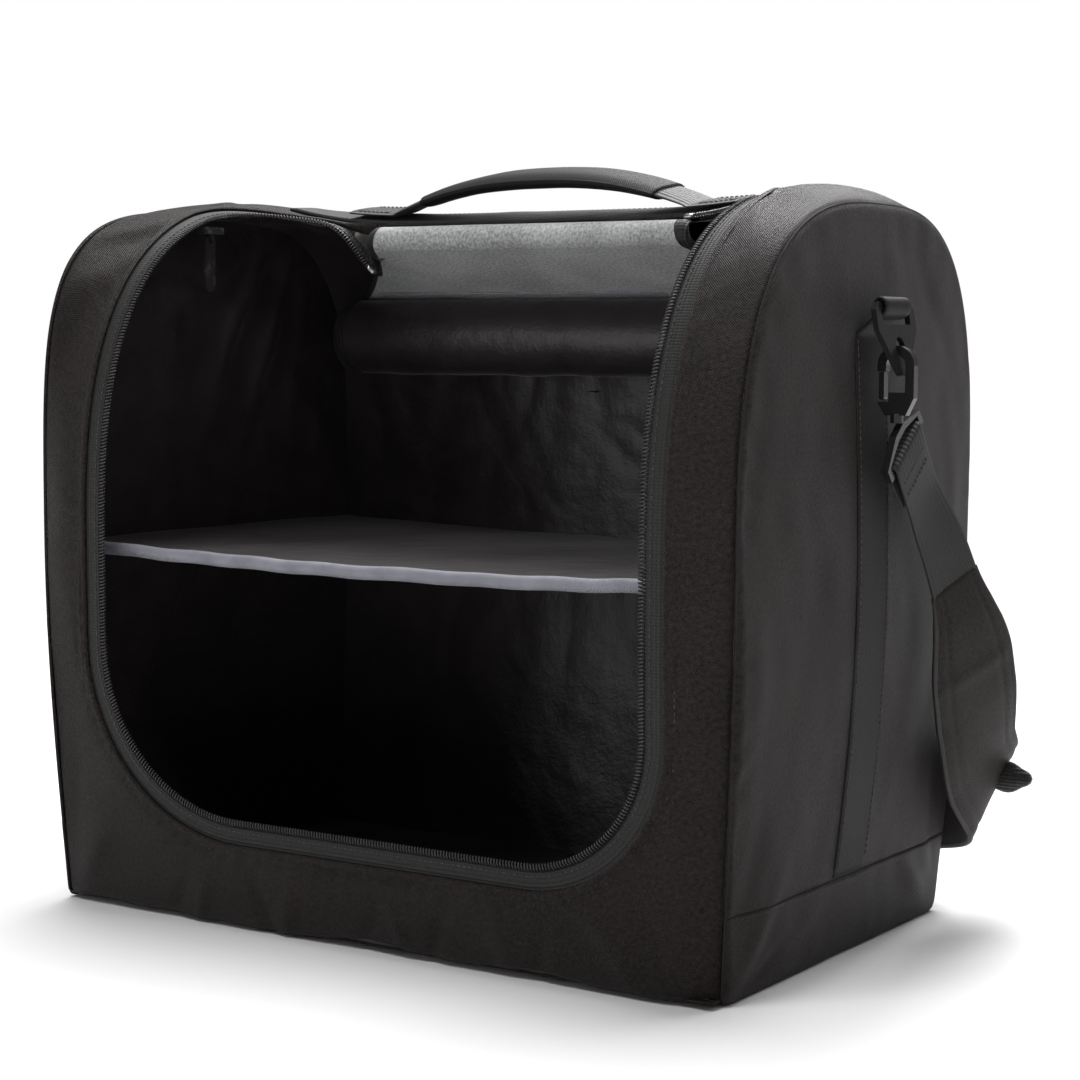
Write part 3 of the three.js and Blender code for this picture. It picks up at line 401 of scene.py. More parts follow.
def mesh_object(name, points, faces, look, uv=None, looks=None):
    """An object from points, in rows or in a grid, and faces. uv holds a place in metres for each."""
    mesh = bpy.data.meshes.new(name)
    mesh.from_pydata(np.asarray(points, float).reshape(-1, 3).tolist(), [], faces)
    for maker in (look if isinstance(look, list) else [look]):
        mesh.materials.append(material(maker))
    if uv is not None:
        layer = mesh.uv_layers.new(name="cloth")
        corner = np.zeros(len(mesh.loops), dtype=np.int32)
        mesh.loops.foreach_get("vertex_index", corner)
        places = np.asarray(uv, dtype=np.float32).reshape(-1, 2)
        layer.data.foreach_set("uv", places[corner].ravel())
    if looks is not None:
        mesh.polygons.foreach_set("material_index", np.asarray(looks, dtype=np.int32))
    mesh.polygons.foreach_set("use_smooth", [True] * len(mesh.polygons))
    mesh.validate()
    made = bpy.data.objects.new(name, mesh)
    bpy.context.scene.collection.objects.link(made)
    return made


def grid_faces(rows, columns, wrap=False):
    """Quads of a grid of rows by columns of points; wrap joins the last column to the first."""
    index = np.arange(rows * columns).reshape(rows, columns)
    ahead = np.roll(index, -1, axis=1) if wrap else index[:, 1:]
    here = index if wrap else index[:, :-1]
    quads = np.stack([here[:-1], ahead[:-1], ahead[1:], here[1:]], axis=-1)
    return [tuple(quad) for quad in quads.reshape(-1, 4).tolist()]


def run_along(points):
    """Length from the first point of a line to each of its points."""
    steps = np.linalg.norm(np.diff(points, axis=0), axis=1)
    return np.concatenate([[0], np.cumsum(steps)])


def sample(at, run, values):
    """Rows of values read at places along a run."""
    return np.stack([np.interp(at, run, column) for column in values.T], axis=-1)


def unit(v):
    return v / np.maximum(np.linalg.norm(v, axis=-1, keepdims=True), 1e-12)


def square_to(along, across):
    """The part of across that is square to along, at unit length."""
    return unit(across - along * np.sum(across * along, axis=1, keepdims=True))


def tube_faces(line, first, second, radius, sides):
    """Points and faces of a round tube along a line, from two directions square to it."""
    rings = [line + radius * (first * math.cos(a) + second * math.sin(a))
             for a in 2 * np.pi * np.arange(sides) / sides]
    return np.stack(rings, axis=1), grid_faces(len(line), sides, wrap=True)


def settle(made, body, slot_name, *nodes):
    """Puts a piece on its body and lets it stand for its nodes; its slot name is not used."""
    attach(made, body)
    if nodes:
        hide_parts(*nodes)


def thicken(made, thickness, offset=-1.0):
    """Gives a cloth its thickness: inward from its outer face, or both ways at an offset of 0."""
    solid = made.modifiers.new("thickness", "SOLIDIFY")
    solid.thickness = thickness
    solid.offset = offset


# Outer form. All functions take numpy arrays. inset is how far inside the outer cloth a layer is.


def mix(a, b, share):
    return a + (b - a) * share


def half_width(z):
    """Half the case's width at a height, along its seams."""
    rise = np.sin(np.pi / 2 * np.clip(z / BULGE_HEIGHT, 0, 1))
    return mix(BASE_WIDTH, BULGE_WIDTH, rise) / 2


RIM_SHARE = OPENING_HALF / (BULGE_WIDTH / 2)


def outline_at(t, p, inset=0.0):
    """y and z of the arched outline at t, from -1 at the left seam to 1 at the right one.

    p runs from 0 at the front foot to 1 where the front arc springs, 2 at the crest, 3 where
    the rear arc ends and 4 at the rear foot.
    """
    t, p = np.broadcast_arrays(np.asarray(t, float), np.asarray(p, float))
    seam = np.clip((np.abs(t) - RIM_SHARE) / (1 - RIM_SHARE), 0, 1) ** 2
    behind, drop, round_front = (np.where(t < 0, a, b) for a, b in zip(LEFT_SEAM, RIGHT_SEAM))
    crest = HEIGHT - inset - drop * seam
    front = FRONT_BULGE - inset - behind * seam
    rear = REAR_BULGE - inset
    power = mix(FRONT_ROUNDNESS, round_front, seam)
    sag_share = 1 - np.clip(np.abs(t) / RIM_SHARE, 0, 1) ** 4

    wall_share = np.where(p < 2, np.clip(p, 0, 1), np.clip(4 - p, 0, 1))
    spring = np.where(p < 2, FRONT_SPRING, REAR_SPRING)
    wall_z = np.maximum(wall_share * spring, inset)
    curve = np.sin(np.pi / 2 * wall_z / spring)
    foot = BASE_CHAMFER * np.clip(1 - wall_z / (6 * MM), 0, 1) ** 2
    wall_y = np.where(
        p < 2, -(mix(FRONT_BASE, FRONT_BULGE, curve) - inset - behind * seam - foot),
        mix(REAR_BASE, REAR_BULGE, curve) - inset - foot)

    angle = np.pi / 2 * np.where(p < 2, np.clip(p - 1, 0, 1), np.clip(3 - p, 0, 1))
    n = np.where(p < 2, power, REAR_ROUNDNESS)
    reach = np.where(p < 2, -(front + CREST_Y), rear - CREST_Y)
    arc_y = CREST_Y + reach * np.clip(np.cos(angle), 0, 1) ** (2 / n)
    dip = 1 - np.clip((arc_y - CREST_Y) / DIP_REACH, 0, 1)
    dip = dip * dip * (3 - 2 * dip)
    sag = sag_share * (TOP_SAG + HINGE_DIP * dip) * np.sin(angle) ** 4
    arc_z = spring + (crest - spring) * np.sin(angle) ** (2 / n) - sag
    on_wall = (p <= 1) | (p >= 3)
    return np.where(on_wall, wall_y, arc_y), np.where(on_wall, wall_z, arc_z)


P_STEPS = 4000
P_TABLE = np.linspace(0, 4, 4 * P_STEPS + 1)
_Y, _Z = outline_at(0.0, P_TABLE)
S_TABLE = run_along(np.stack([_Y, _Z], axis=-1))
S_TOTAL = S_TABLE[-1]
CREST_INDEX = 2 * P_STEPS

# The loose corner of the left wing, beside the flap's hinge
WING_TIP_X = HINGE_CORNER - OPENING_HALF
WING_SPREAD, WING_INNER_SPREAD = 15.5 * MM, 4 * MM
WING_DROOP = 28 * MM
WING_LEAN = 0.35


def s_at_front(z):
    """Length along the middle outline to a height on the front."""
    return float(np.interp(z, _Z[:CREST_INDEX], S_TABLE[:CREST_INDEX]))


def s_at_top(y):
    """Length along the middle outline to a place on the top."""
    top = slice(P_STEPS // 2, P_STEPS * 7 // 2)
    return float(np.interp(y, _Y[top], S_TABLE[top]))


S_SILL = s_at_front(OPENING_SILL)
S_HINGE = s_at_top(HINGE_Y)
S_REAR_SEAM = S_TOTAL - float(np.interp(REAR_SEAM_HEIGHT, _Z[::-1][:CREST_INDEX],
                                        (S_TOTAL - S_TABLE)[::-1][:CREST_INDEX]))


def wing_droop(x, s):
    """How far the corner of the left wing hangs down, where the rolled flap pulls on its zip."""
    spread = np.where(x < WING_TIP_X, WING_SPREAD, WING_INNER_SPREAD)
    near = np.exp(-((x - WING_TIP_X) / spread) ** 2)
    behind = np.clip((S_HINGE + 2 * MM - s) / (8 * MM), 0, 1)
    ahead = np.exp(-(np.clip(S_HINGE - 14 * MM - s, 0, None) / (12 * MM)) ** 2)
    edge = np.exp(-(np.clip(from_edge(x, s), 0, None) / (9 * MM)) ** 2)
    return WING_DROOP * near * ahead * edge * behind * behind * (3 - 2 * behind)


def band_point(t, s, inset=0.0):
    """Point of the long band that makes the front, top and back, at t across and s along it."""
    p = np.interp(s, S_TABLE, P_TABLE)
    y, z = outline_at(t, p, inset)
    x = t * (half_width(z) - inset)
    droop = wing_droop(x, s)
    return np.stack([x, y + WING_LEAN * droop, z - droop], axis=-1)


def band_normal(t, s, inset=0.0):
    """Outward direction of the band, from two short steps each way."""
    step = 0.4 * MM
    along = band_point(t, np.clip(s + step, 0, S_TOTAL), inset) \
        - band_point(t, np.clip(s - step, 0, S_TOTAL), inset)
    across = band_point(np.clip(t + 0.002, -1, 1), s, inset) \
        - band_point(np.clip(t - 0.002, -1, 1), s, inset)
    return unit(np.cross(across, along))


def from_edge(x, s, margin=0.0):
    """Distance outside the opening's edge, less than nought inside it."""
    half = OPENING_HALF - margin
    low, high = S_SILL + margin, S_HINGE - margin
    lower = s < (low + high) / 2
    corner = np.where(lower, np.where(x < 0, CORNER_LEFT, CORNER_RIGHT), HINGE_CORNER) - margin
    dx = np.abs(x) - (half - corner)
    ds = np.where(lower, low + corner - s, s - high + corner)
    outside = np.hypot(np.maximum(dx, 0), np.maximum(ds, 0))
    return outside + np.minimum(np.maximum(dx, ds), 0) - corner


def opening_path(margin, fine=1.0):
    """Places (x, s) round the opening, from the left hinge corner down and round to the right."""
    half = OPENING_HALF - margin
    low, high = S_SILL + margin, S_HINGE - margin

    def bend(cx, cs, radius, start, end, count):
        angles = np.radians(np.linspace(start, end, count, endpoint=False))
        return np.stack([cx + radius * np.cos(angles), cs + radius * np.sin(angles)], axis=-1)

    def line(a, b, count):
        return mix(np.array(a), np.array(b), np.linspace(0, 1, count, endpoint=False)[:, None])

    top, left, right = HINGE_CORNER - margin, CORNER_LEFT - margin, CORNER_RIGHT - margin
    counts = [int(n * fine) for n in (60, 170, 80, 100, 64, 180, 60)]
    parts = [
        bend(-half + top, high - top, top, 92, 180, counts[0]),
        line((-half, high - top), (-half, low + left), counts[1]),
        bend(-half + left, low + left, left, 180, 270, counts[2]),
        line((-half + left, low), (half - right, low), counts[3]),
        bend(half - right, low + right, right, 270, 360, counts[4]),
        line((half, low + right), (half, high - top), counts[5]),
        bend(half - top, high - top, top, 0, 88, counts[6]),
    ]
    return np.concatenate(parts)


def place_on_band(places, relief=None):
    """Points and normals on the band for places (x, s), on its relief where one is given."""
    x, s = places[..., 0], places[..., 1]
    t = x / half_width(band_point(x / (BULGE_WIDTH / 2), s)[..., 2])
    point, normal = band_point(t, s), band_normal(t, s)
    if relief:
        point = point + normal * relief(x, s)[..., None]
    return point, normal


def waves(a, b, seed, size):
    """Broad soft unevenness of hand-sewn cloth, about -1 to 1, the same on every run."""
    total = np.zeros(np.broadcast(a, b).shape)
    rng = np.random.default_rng(seed)
    for k in range(7):
        turn = rng.uniform(0, 2 * np.pi)
        length = size * rng.uniform(0.6, 1.8)
        phase = rng.uniform(0, 2 * np.pi)
        total = total + np.sin(2 * np.pi * (a * np.cos(turn) + b * np.sin(turn)) / length + phase)
    return total / 4.0


def crease(a, b, centre, turn, length, width, height):
    """One soft ridge, or a furrow where height is below nought."""
    angle = math.radians(turn)
    da, db = a - centre[0], b - centre[1]
    along = da * math.cos(angle) + db * math.sin(angle)
    across = -da * math.sin(angle) + db * math.cos(angle)
    return height * np.exp(-(along / length) ** 2 - (across / width) ** 2)


def with_creases(relief, a, b, rows):
    """The relief with a row of ridges and furrows added, whose sizes are in mm."""
    for ca, cb, turn, length, width, height in rows:
        relief = relief + crease(a, b, (ca * MM, cb * MM), turn, length * MM, width * MM, height * MM)
    return relief


# Ridges and furrows of the outer cloth: place (x, s) in mm, turn from the x axis in degrees, then
# length, width and height in mm.
BAND_CREASES = (
    (-128, 14, 62, 17, 5, -1.5), (-112, 12, 75, 14, 4, 1.3), (-66, 15, 115, 18, 5, -1.6),
    (-50, 12, 80, 15, 5, 1.4), (8, 14, 65, 17, 5, -1.5), (28, 13, 118, 15, 4, 1.2),
    (52, 13, 70, 17, 5, -1.7), (95, 16, 110, 18, 6, 1.3), (118, 13, 78, 16, 5, -1.6),
    (166, 22, 128, 26, 7, 1.8), (186, 34, 115, 26, 6, -1.5), (205, 62, 100, 24, 7, 1.5),
    (150, 40, 150, 30, 8, 1.2), (-195, 30, 60, 22, 7, 1.2), (-208, 70, 85, 30, 7, -1.1),
    (-214, 230, 92, 60, 9, 1.0), (-215, 330, 80, 34, 8, -1.2), (-208, 372, 60, 26, 8, 1.9),
    (-206, 405, 45, 22, 7, -1.9), (-190, 432, 40, 30, 6, 1.6), (-196, 462, 25, 30, 6, -1.5),
    (-180, 480, 15, 34, 7, 1.4), (214, 170, 88, 50, 9, 0.9), (213, 330, 96, 34, 8, -1.0),
    (210, 402, 120, 24, 8, 1.2), (208, 440, 100, 20, 7, -1.2), (212, 520, 70, 28, 8, 1.0),
)


def band_relief(x, s):
    """How far the outer cloth stands off the plain form, in metres."""
    edge = from_edge(x, s)
    seam = half_width(np.full_like(x, HEIGHT)) - np.abs(x)
    relief = 0.9 * MM * waves(x, s, 3, 150 * MM) + 0.35 * MM * waves(x, s, 8, 45 * MM)
    relief = with_creases(relief, x, s, BAND_CREASES)
    # Small gathers that run square to the zip and die out a thumb's width from it
    around = np.arctan2(s - 0.22, x) * 0.33
    gather = waves(around, around * 0.3, 21, 16 * MM)
    relief = relief + 0.5 * MM * gather * np.exp(-np.clip(edge - 3 * MM, 0, None) / (9 * MM))
    # The line of stitches that holds the zip's tape, and the roll of cloth outside it
    relief = relief - 0.9 * MM * np.exp(-((edge - 5.5 * MM) / (1.1 * MM)) ** 2)
    relief = relief + 0.5 * MM * np.exp(-((edge - 2.5 * MM) / (1.8 * MM)) ** 2)
    fade = np.clip(edge / (2 * MM), 0, 1) * np.clip(seam / (6 * MM) + 0.1, 0, 1)
    return relief * fade


def seam_dip(distance, depth=1.4 * MM, width=1.6 * MM):
    """How far cloth turns in where it meets a seam."""
    return depth * np.exp(-(np.clip(distance, 0, None) / width) ** 2)


def cut_band(t, s, margin):
    """Grid of points kept clear of the opening: (t, s, faces) with the edge's points on the edge."""
    rows, columns = t.shape
    x = t * half_width(band_point(t, s)[..., 2])
    distance = from_edge(x, s, margin)
    cell = np.maximum(np.abs(np.gradient(x, axis=1)), np.abs(np.gradient(s, axis=0)))
    step = 0.2 * MM
    slope_x = (from_edge(x + step, s, margin) - from_edge(x - step, s, margin)) / (2 * step)
    slope_s = (from_edge(x, s + step, margin) - from_edge(x, s - step, margin)) / (2 * step)
    near = np.abs(distance) < 0.56 * cell
    x = np.where(near, x - distance * slope_x, x)
    s = np.where(near, s - distance * slope_s, s)
    distance = np.where(near, 0.0, distance)
    t = np.where(near, x / half_width(band_point(t, s)[..., 2]), t)
    inside = (distance < -1e-7).ravel()
    kept = []
    for face in grid_faces(rows, columns):
        gone = [i for i in face if inside[i]]
        if not gone:
            kept.append(face)
        elif len(gone) == 1:
            kept.append(tuple(i for i in face if i != gone[0]))
    return np.clip(t, -1, 1), s, kept


def used_only(points, uv, faces):
    """Drops points that no face uses."""
    used = np.unique(np.concatenate([np.array(f) for f in faces]))
    order = np.full(len(points), -1)
    order[used] = np.arange(len(used))
    return points[used], uv[used], [tuple(order[list(f)]) for f in faces]


PUCKER_RISE = 3.2 * MM
HEM_HEIGHT = 16 * MM
LOWEST_BAND = 0.2 * MM
LOWEST_SIDE = 1.7 * MM
LOWEST_BASE = 1.5 * MM


def band_piece(name, s_from, s_to, look, inset=0.0, relief=None, margin=None, seam_depth=1.4 * MM):
    """A length of the band, laid on the case's form, with its seams turned in."""
    rows = max(int((s_to - s_from) / CLOTH_STEP), 2)
    columns = int(BULGE_WIDTH / CLOTH_STEP)
    t, s = np.meshgrid(np.linspace(-1, 1, columns + 1), np.linspace(s_from, s_to, rows + 1))
    if margin is None:
        faces = grid_faces(*t.shape)
    else:
        t, s, faces = cut_band(t, s, margin)
    points = band_point(t, s, inset)
    normal = band_normal(t, s, inset)
    x = points[..., 0]
    lift = relief(x, s) if relief else np.zeros_like(x)
    width = half_width(points[..., 2]) - inset
    lift = lift - seam_dip(width - np.abs(x), seam_depth)
    lift = lift - seam_dip(s - s_from, seam_depth) - seam_dip(s_to - s, seam_depth)
    points = (points + normal * lift[..., None]).reshape(-1, 3)
    hem = np.minimum(s, S_TOTAL - s).ravel()
    pucker = np.clip(waves(x, 0 * x, 15, 75 * MM) + 0.25, 0, 1.4).ravel()
    points[:, 2] += PUCKER_RISE * pucker * np.clip(1 - hem / HEM_HEIGHT, 0, 1) * (inset == 0)
    points[:, 2] = np.maximum(points[:, 2], LOWEST_BAND)
    uv = np.stack([x, s], axis=-1).reshape(-1, 2)
    points, uv, faces = used_only(points, uv, faces)
    return mesh_object(name, points, faces, look, uv)


# Ridges and furrows of a side: place (y, z) in mm, turn, length, width and height in mm.
SIDE_CREASES = (
    (-95, 30, 55, 34, 7, 2.0), (-80, 14, 30, 26, 6, -1.8), (-104, 62, 78, 30, 8, -1.4),
    (-62, 24, 15, 30, 7, 1.4), (90, 28, 140, 30, 7, 1.8), (112, 56, 110, 26, 7, -1.5),
    (-108, 150, 88, 60, 9, 1.1), (-112, 270, 80, 40, 8, -1.2), (-70, 358, 40, 30, 9, 1.3),
    (20, 372, 8, 36, 9, 1.0), (92, 350, 130, 30, 8, -1.3), (118, 240, 95, 44, 9, 1.0),
    (60, 120, 65, 60, 14, 1.2), (-50, 200, 95, 70, 16, -1.0), (46, 300, 60, 42, 12, -1.0),
)


def side_relief(y, z, share):
    """How far a side's cloth stands off the plain form, in metres."""
    relief = 1.0 * MM * waves(y, z, 31, 120 * MM) + 0.3 * MM * waves(y, z, 35, 38 * MM)
    relief = with_creases(relief, y, z, SIDE_CREASES)
    around = np.arctan2(z - 0.19, y) * 0.16
    gather = waves(around, around * 0.2, 41, 14 * MM)
    relief = relief + 0.45 * MM * gather * np.clip((share - 0.86) / 0.1, 0, 1)
    fade = np.clip((1 - share) / 0.03, 0, 1) * np.clip((z - 1 * MM) / (8 * MM), 0, 1)
    # The sewn-down webbing draws the cloth flat
    beside = np.clip((np.abs(y - FITTING_Y) - 20 * MM) / (16 * MM), 0, 1)
    return relief * fade * mix(0.12, 1, beside)


QUARTER = 1000


def seam_outline(side):
    """y and z of a side's seam, with a quarter of the places on each wall and each arc."""
    return outline_at(float(side), np.linspace(0, 4, 4 * QUARTER + 1))


def seam_table(side):
    """Angle about the side's centre and distance from it, for places round the seam."""
    y, z = seam_outline(side)
    foot = np.linspace(0, 1, 300)[1:-1]
    y = np.concatenate([y, mix(y[-1], y[0], foot)]) - SIDE_CENTRE[0]
    z = np.concatenate([z, 0 * foot]) - SIDE_CENTRE[1]
    angle = np.arctan2(z, y)
    order = np.argsort(angle)
    return angle[order], np.hypot(y, z)[order]


SEAM_TABLES = {side: seam_table(side) for side in (1, -1)}


def seam_share(side, y, z):
    """0 at the middle of a side and 1 at its seam."""
    dy, dz = y - SIDE_CENTRE[0], z - SIDE_CENTRE[1]
    angle, radius = SEAM_TABLES[side]
    return np.clip(np.hypot(dy, dz) / np.interp(np.arctan2(dz, dy), angle, radius), 0, 1)


def side_edge(side, low, high, step=3 * MM):
    """Places (y, z) round the part of a side between two heights, evenly spaced."""
    seam = np.stack(seam_outline(side), axis=-1)
    inside = (seam[:, 1] > low) & (seam[:, 1] < high)
    front = seam[:2 * QUARTER][inside[:2 * QUARTER]]
    rear = seam[2 * QUARTER:][inside[2 * QUARTER:]]
    front[0, 1] = rear[-1, 1] = low
    if high < HEIGHT:
        front[-1, 1] = rear[0, 1] = high
    ring = np.concatenate([front, rear, front[:1]])
    corners = [0, len(front) - 1, len(front), len(ring) - 2, len(ring) - 1]
    run = run_along(ring)
    places = []
    for a, b in zip(corners[:-1], corners[1:]):
        count = max(int((run[b] - run[a]) / step), 1) if run[b] - run[a] > step / 2 else 0
        at = np.linspace(run[a], run[b], count, endpoint=False)
        places.append(sample(at, run, ring))
    return np.concatenate(places)


def side_piece(name, side, low, high, look, proud=0.0):
    """Part of a side between two heights, its edges turned into the seams."""
    edge = side_edge(side, low, high)
    middle = np.array([SIDE_CENTRE[0], mix(low, high, 0.45)])
    rings = 48
    reach = 1 - (1 - np.linspace(0.01, 1, rings)) ** 1.35
    places = middle + (edge[None] - middle) * reach[:, None, None]
    y, z = places[..., 0], places[..., 1]
    share = seam_share(side, y, z)
    depth = np.linalg.norm((edge - middle), axis=-1)[None] * (1 - reach)[:, None]
    lift = proud + side_relief(y, z, share) - seam_dip(depth, 1.5 * MM, 1.8 * MM)
    x = half_width(z) + SIDE_BULGE * (1 - share * share) + lift
    points = np.stack([side * x, y, np.maximum(z, LOWEST_SIDE)], axis=-1)
    count = len(edge)
    faces = grid_faces(rings, count, wrap=True)
    faces.append(tuple(reversed(range(count))))
    if side > 0:
        faces = [tuple(reversed(f)) for f in faces]
    uv = np.stack([y, z], axis=-1)
    return mesh_object(name, points, faces, look, uv)


def seam_cord(name, line):
    """The dark line of a seam: a thin near-black cord sunk where two cloths turn in, painted shade of
    the seam's groove.
    """
    askew = np.array([0.3, 0.5, 0.81])
    along = unit(np.gradient(line, axis=0))
    first = unit(np.cross(along, askew))
    points, faces = tube_faces(line, first, np.cross(along, first), 0.75 * MM, 5)
    settle(mesh_object(name, points, faces, seam_shade_and_thread), ROOT, "shell_cloth")


def make_seams():
    """The seams between the band and the sides, above the foot bands and across the back, each drawn
    as a cord of painted shade.
    """
    s = np.linspace(2 * MM, S_TOTAL - 2 * MM, 420)
    for word, side in SIDES:
        seam = band_point(float(side), s) - np.array([side * 0.2 * MM, 0, 0])
        seam_cord(f"side_seam_{word}", seam)
        y, z = seam_outline(side)
        front = np.interp(SIDE_BAND_HEIGHT, z[:QUARTER], y[:QUARTER])
        rear = np.interp(SIDE_BAND_HEIGHT, z[:3 * QUARTER:-1], y[:3 * QUARTER:-1])
        across = np.linspace(front, rear, 120)
        level = np.full_like(across, SIDE_BAND_HEIGHT)
        share = seam_share(side, across, level)
        x = half_width(level) + SIDE_BULGE * (1 - share * share) - 0.9 * MM
        seam_cord(f"foot_seam_{word}", np.stack([side * x, across, level], axis=-1))
    t = np.linspace(-0.995, 0.995, 160)
    rear_line = np.full_like(t, S_REAR_SEAM)
    seam_cord("rear_seam", band_point(t, rear_line) - band_normal(t, rear_line) * 0.9 * MM)


def sew(name, points, normals, slot_name="webbing", length=2.6 * MM, pitch=3.6 * MM, radius=0.36 * MM):
    """A row of sewing stitches along a line of points, each a short rounded thread."""
    run = run_along(points)
    verts, faces = [], []
    profile = ((-0.5, 0.15), (-0.36, 0.85), (0, 1.1), (0.36, 0.85), (0.5, 0.15))
    for start in np.arange(pitch / 2, run[-1] - pitch / 2, pitch):
        back, place, ahead = (Vector(sample(start + shift * length, run, points))
                              for shift in (-0.5, 0, 0.5))
        normal = Vector(sample(start, run, normals)).normalized()
        along = (ahead - back).normalized()
        across = along.cross(normal).normalized()
        first = len(verts)
        for shift, size in profile:
            centre = place + along * (shift * length)
            for k in range(6):
                angle = math.pi / 3 * k
                ring = across * math.cos(angle) + normal * math.sin(angle)
                verts.append(centre + ring * (radius * size))
        for r in range(len(profile) - 1):
            for k in range(6):
                a, b = first + 6 * r + k, first + 6 * r + (k + 1) % 6
                faces.append((a, b, b + 6, a + 6))
    settle(mesh_object(name, verts, faces, spun_thread), ROOT, slot_name)


def make_shell():
    """The outside: the long band, the rear panel, the two sides and the base."""
    cloth = woven_polyester
    pieces = [
        (band_piece("band_cloth", 0.0, S_REAR_SEAM, cloth, relief=band_relief, margin=0.0),
         "main_band"),
        (band_piece("rear_cloth", S_REAR_SEAM, S_TOTAL, cloth, relief=rear_relief), "rear_panel"),
    ]
    for word, side in SIDES:
        pieces += [
            (side_piece(f"side_cloth_{word}", side, SIDE_BAND_HEIGHT, HEIGHT, cloth),
             f"side_panel_{word}"),
            (side_piece(f"side_foot_{word}", side, 0.0, SIDE_BAND_HEIGHT, cloth, proud=0.5 * MM),
             f"side_base_{word}"),
        ]
    for piece, node in pieces:
        thicken(piece, CLOTH_THICK)
        settle(piece, ROOT, "shell_cloth", node)
    make_base(cloth)
    make_seams()


def rear_relief(x, s):
    """Broad waves of the rear cloth, which end at its foot."""
    relief = 1.2 * MM * waves(x, s, 51, 170 * MM) + 0.4 * MM * waves(x, s, 52, 50 * MM)
    return relief * np.clip((S_TOTAL - s) / (8 * MM), 0, 1)


def make_base(cloth):
    """The bottom: cloth over a board, with its edges rounded up into the walls."""
    low, high = [Vector(c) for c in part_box("base_panel")]
    count = 40
    xs = np.linspace(low.x + 1 * MM, high.x - 1 * MM, count)
    ys = np.linspace(low.y + 1 * MM, high.y - 1 * MM, count)
    x, y = np.meshgrid(xs, ys)
    edge = np.minimum(np.minimum(x - xs[0], xs[-1] - x), np.minimum(y - ys[0], ys[-1] - y))
    z = 0.9 * MM * np.exp(-(edge / (5 * MM)) ** 2) + LOWEST_BASE
    points = np.stack([x, y, z], axis=-1)
    uv = np.stack([x, y], axis=-1)
    faces = [tuple(reversed(f)) for f in grid_faces(count, count)]
    base = mesh_object("base_cloth", points, faces, cloth, uv)
    thicken(base, 1.4 * MM)
    settle(base, ROOT, "shell_cloth", "base_panel")


# Lining


def lining_relief(x, s):
    """Satin hangs in soft folds, more so near the top of each arch."""
    high = np.clip((s - 0.25) / 0.2, 0, 1) * np.clip((S_TOTAL - 0.2 - s) / 0.15, 0, 1)
    soft = np.abs(waves(x, s, 61, 90 * MM)) * 2.2 * MM + np.abs(waves(x, s, 63, 34 * MM)) * 0.8 * MM
    return -(soft * (0.4 + 0.6 * high)) * np.clip(from_edge(x, s) / (14 * MM) + 0.3, 0, 1)


def side_lining(word, side):
    """The satin of a side wall, seen from within, with folds that fall from the arch."""
    p = np.interp(np.linspace(0, S_TOTAL, int(S_TOTAL / (3.5 * MM))), S_TABLE, P_TABLE)
    share, p = np.meshgrid(np.linspace(0.01, 1, 46), p, indexing="ij")
    y, z = outline_at(float(side), p, LINING_DEPTH)
    y, z = mix(SIDE_CENTRE[0], y, share), mix(SIDE_CENTRE[1], z, share)
    x = half_width(z) - LINING_DEPTH + SIDE_BULGE * (1 - share * share)
    points = np.stack([side * x, y, z], axis=-1)
    fade = np.clip((1 - share) / 0.05, 0, 1)
    upper = np.clip((z - 0.24) / 0.12, 0, 1)
    folds = np.abs(waves(y, z, 71, 70 * MM)) * 2.4 * MM + np.abs(waves(y, z, 73, 26 * MM)) * 0.8 * MM
    folds = with_creases(folds, y, z, LINING_FOLDS)
    points[..., 0] -= side * folds * fade * (0.45 + 0.55 * upper)
    uv = np.stack([y, z], axis=-1)
    rings, count = share.shape
    faces = grid_faces(rings, count, wrap=True)
    faces.append(tuple(reversed(range(count))))
    if side < 0:
        faces = [tuple(reversed(f)) for f in faces]
    return mesh_object(f"lining_side_{word}", points, faces,
                       satin_lining, uv)


# Folds of a side's lining: place (y, z) in mm, turn, length, width and height in mm.
LINING_FOLDS = (
    (40, 348, 62, 60, 8, 4.5), (66, 318, 72, 70, 7, 4.0), (96, 300, 84, 70, 8, 3.5),
    (14, 372, 30, 50, 8, 3.5), (120, 270, 90, 60, 8, 3.0), (-20, 330, 80, 60, 12, 2.0),
    (70, 250, 96, 60, 9, 2.5), (20, 290, 70, 50, 9, 2.2),
)


FLOOR_HALF = 214 * MM
FLOOR_FRONT, FLOOR_REAR = -124 * MM, 128 * MM
FLOOR_LEVEL = 4.2 * MM


def make_lining():
    """The satin bag inside: the band, the two sides and the floor."""
    band = band_piece("lining_band", 0.0, S_TOTAL, satin_lining, inset=LINING_DEPTH,
                      relief=lining_relief, margin=3.0 * MM, seam_depth=0.0)
    band.data.flip_normals()
    settle(band, ROOT, "lining_cloth", "lining")
    for word, side in SIDES:
        settle(side_lining(word, side), ROOT, "lining_cloth", "lining")
    count = 30
    x, y = np.meshgrid(np.linspace(-FLOOR_HALF, FLOOR_HALF, count),
                       np.linspace(FLOOR_FRONT, FLOOR_REAR, count))
    z = FLOOR_LEVEL + 0.3 * MM * (1 + waves(x, y, 77, 90 * MM))
    points = np.stack([x, y, z], axis=-1)
    uv = np.stack([x, y], axis=-1)
    settle(mesh_object("lining_floor", points, grid_faces(count, count), satin_lining, uv), ROOT,
           "lining_cloth", "lining")


# Zip


def ribbon_round(name, rows, look):
    """A strip round the opening whose rows, in mm, follow its edge at each margin and depth."""
    margins, depths = np.array(rows).T * MM
    lines = []
    for margin, depth in zip(margins, depths):
        point, normal = place_on_band(opening_path(margin))
        lines.append(point - normal * depth)
    points = np.stack(lines, axis=0)
    uv = np.stack(np.broadcast_arrays(margins[:, None], run_along(points[0])[None, :]), axis=-1)
    return mesh_object(name, points, grid_faces(*points.shape[:2]), look,
                       uv)


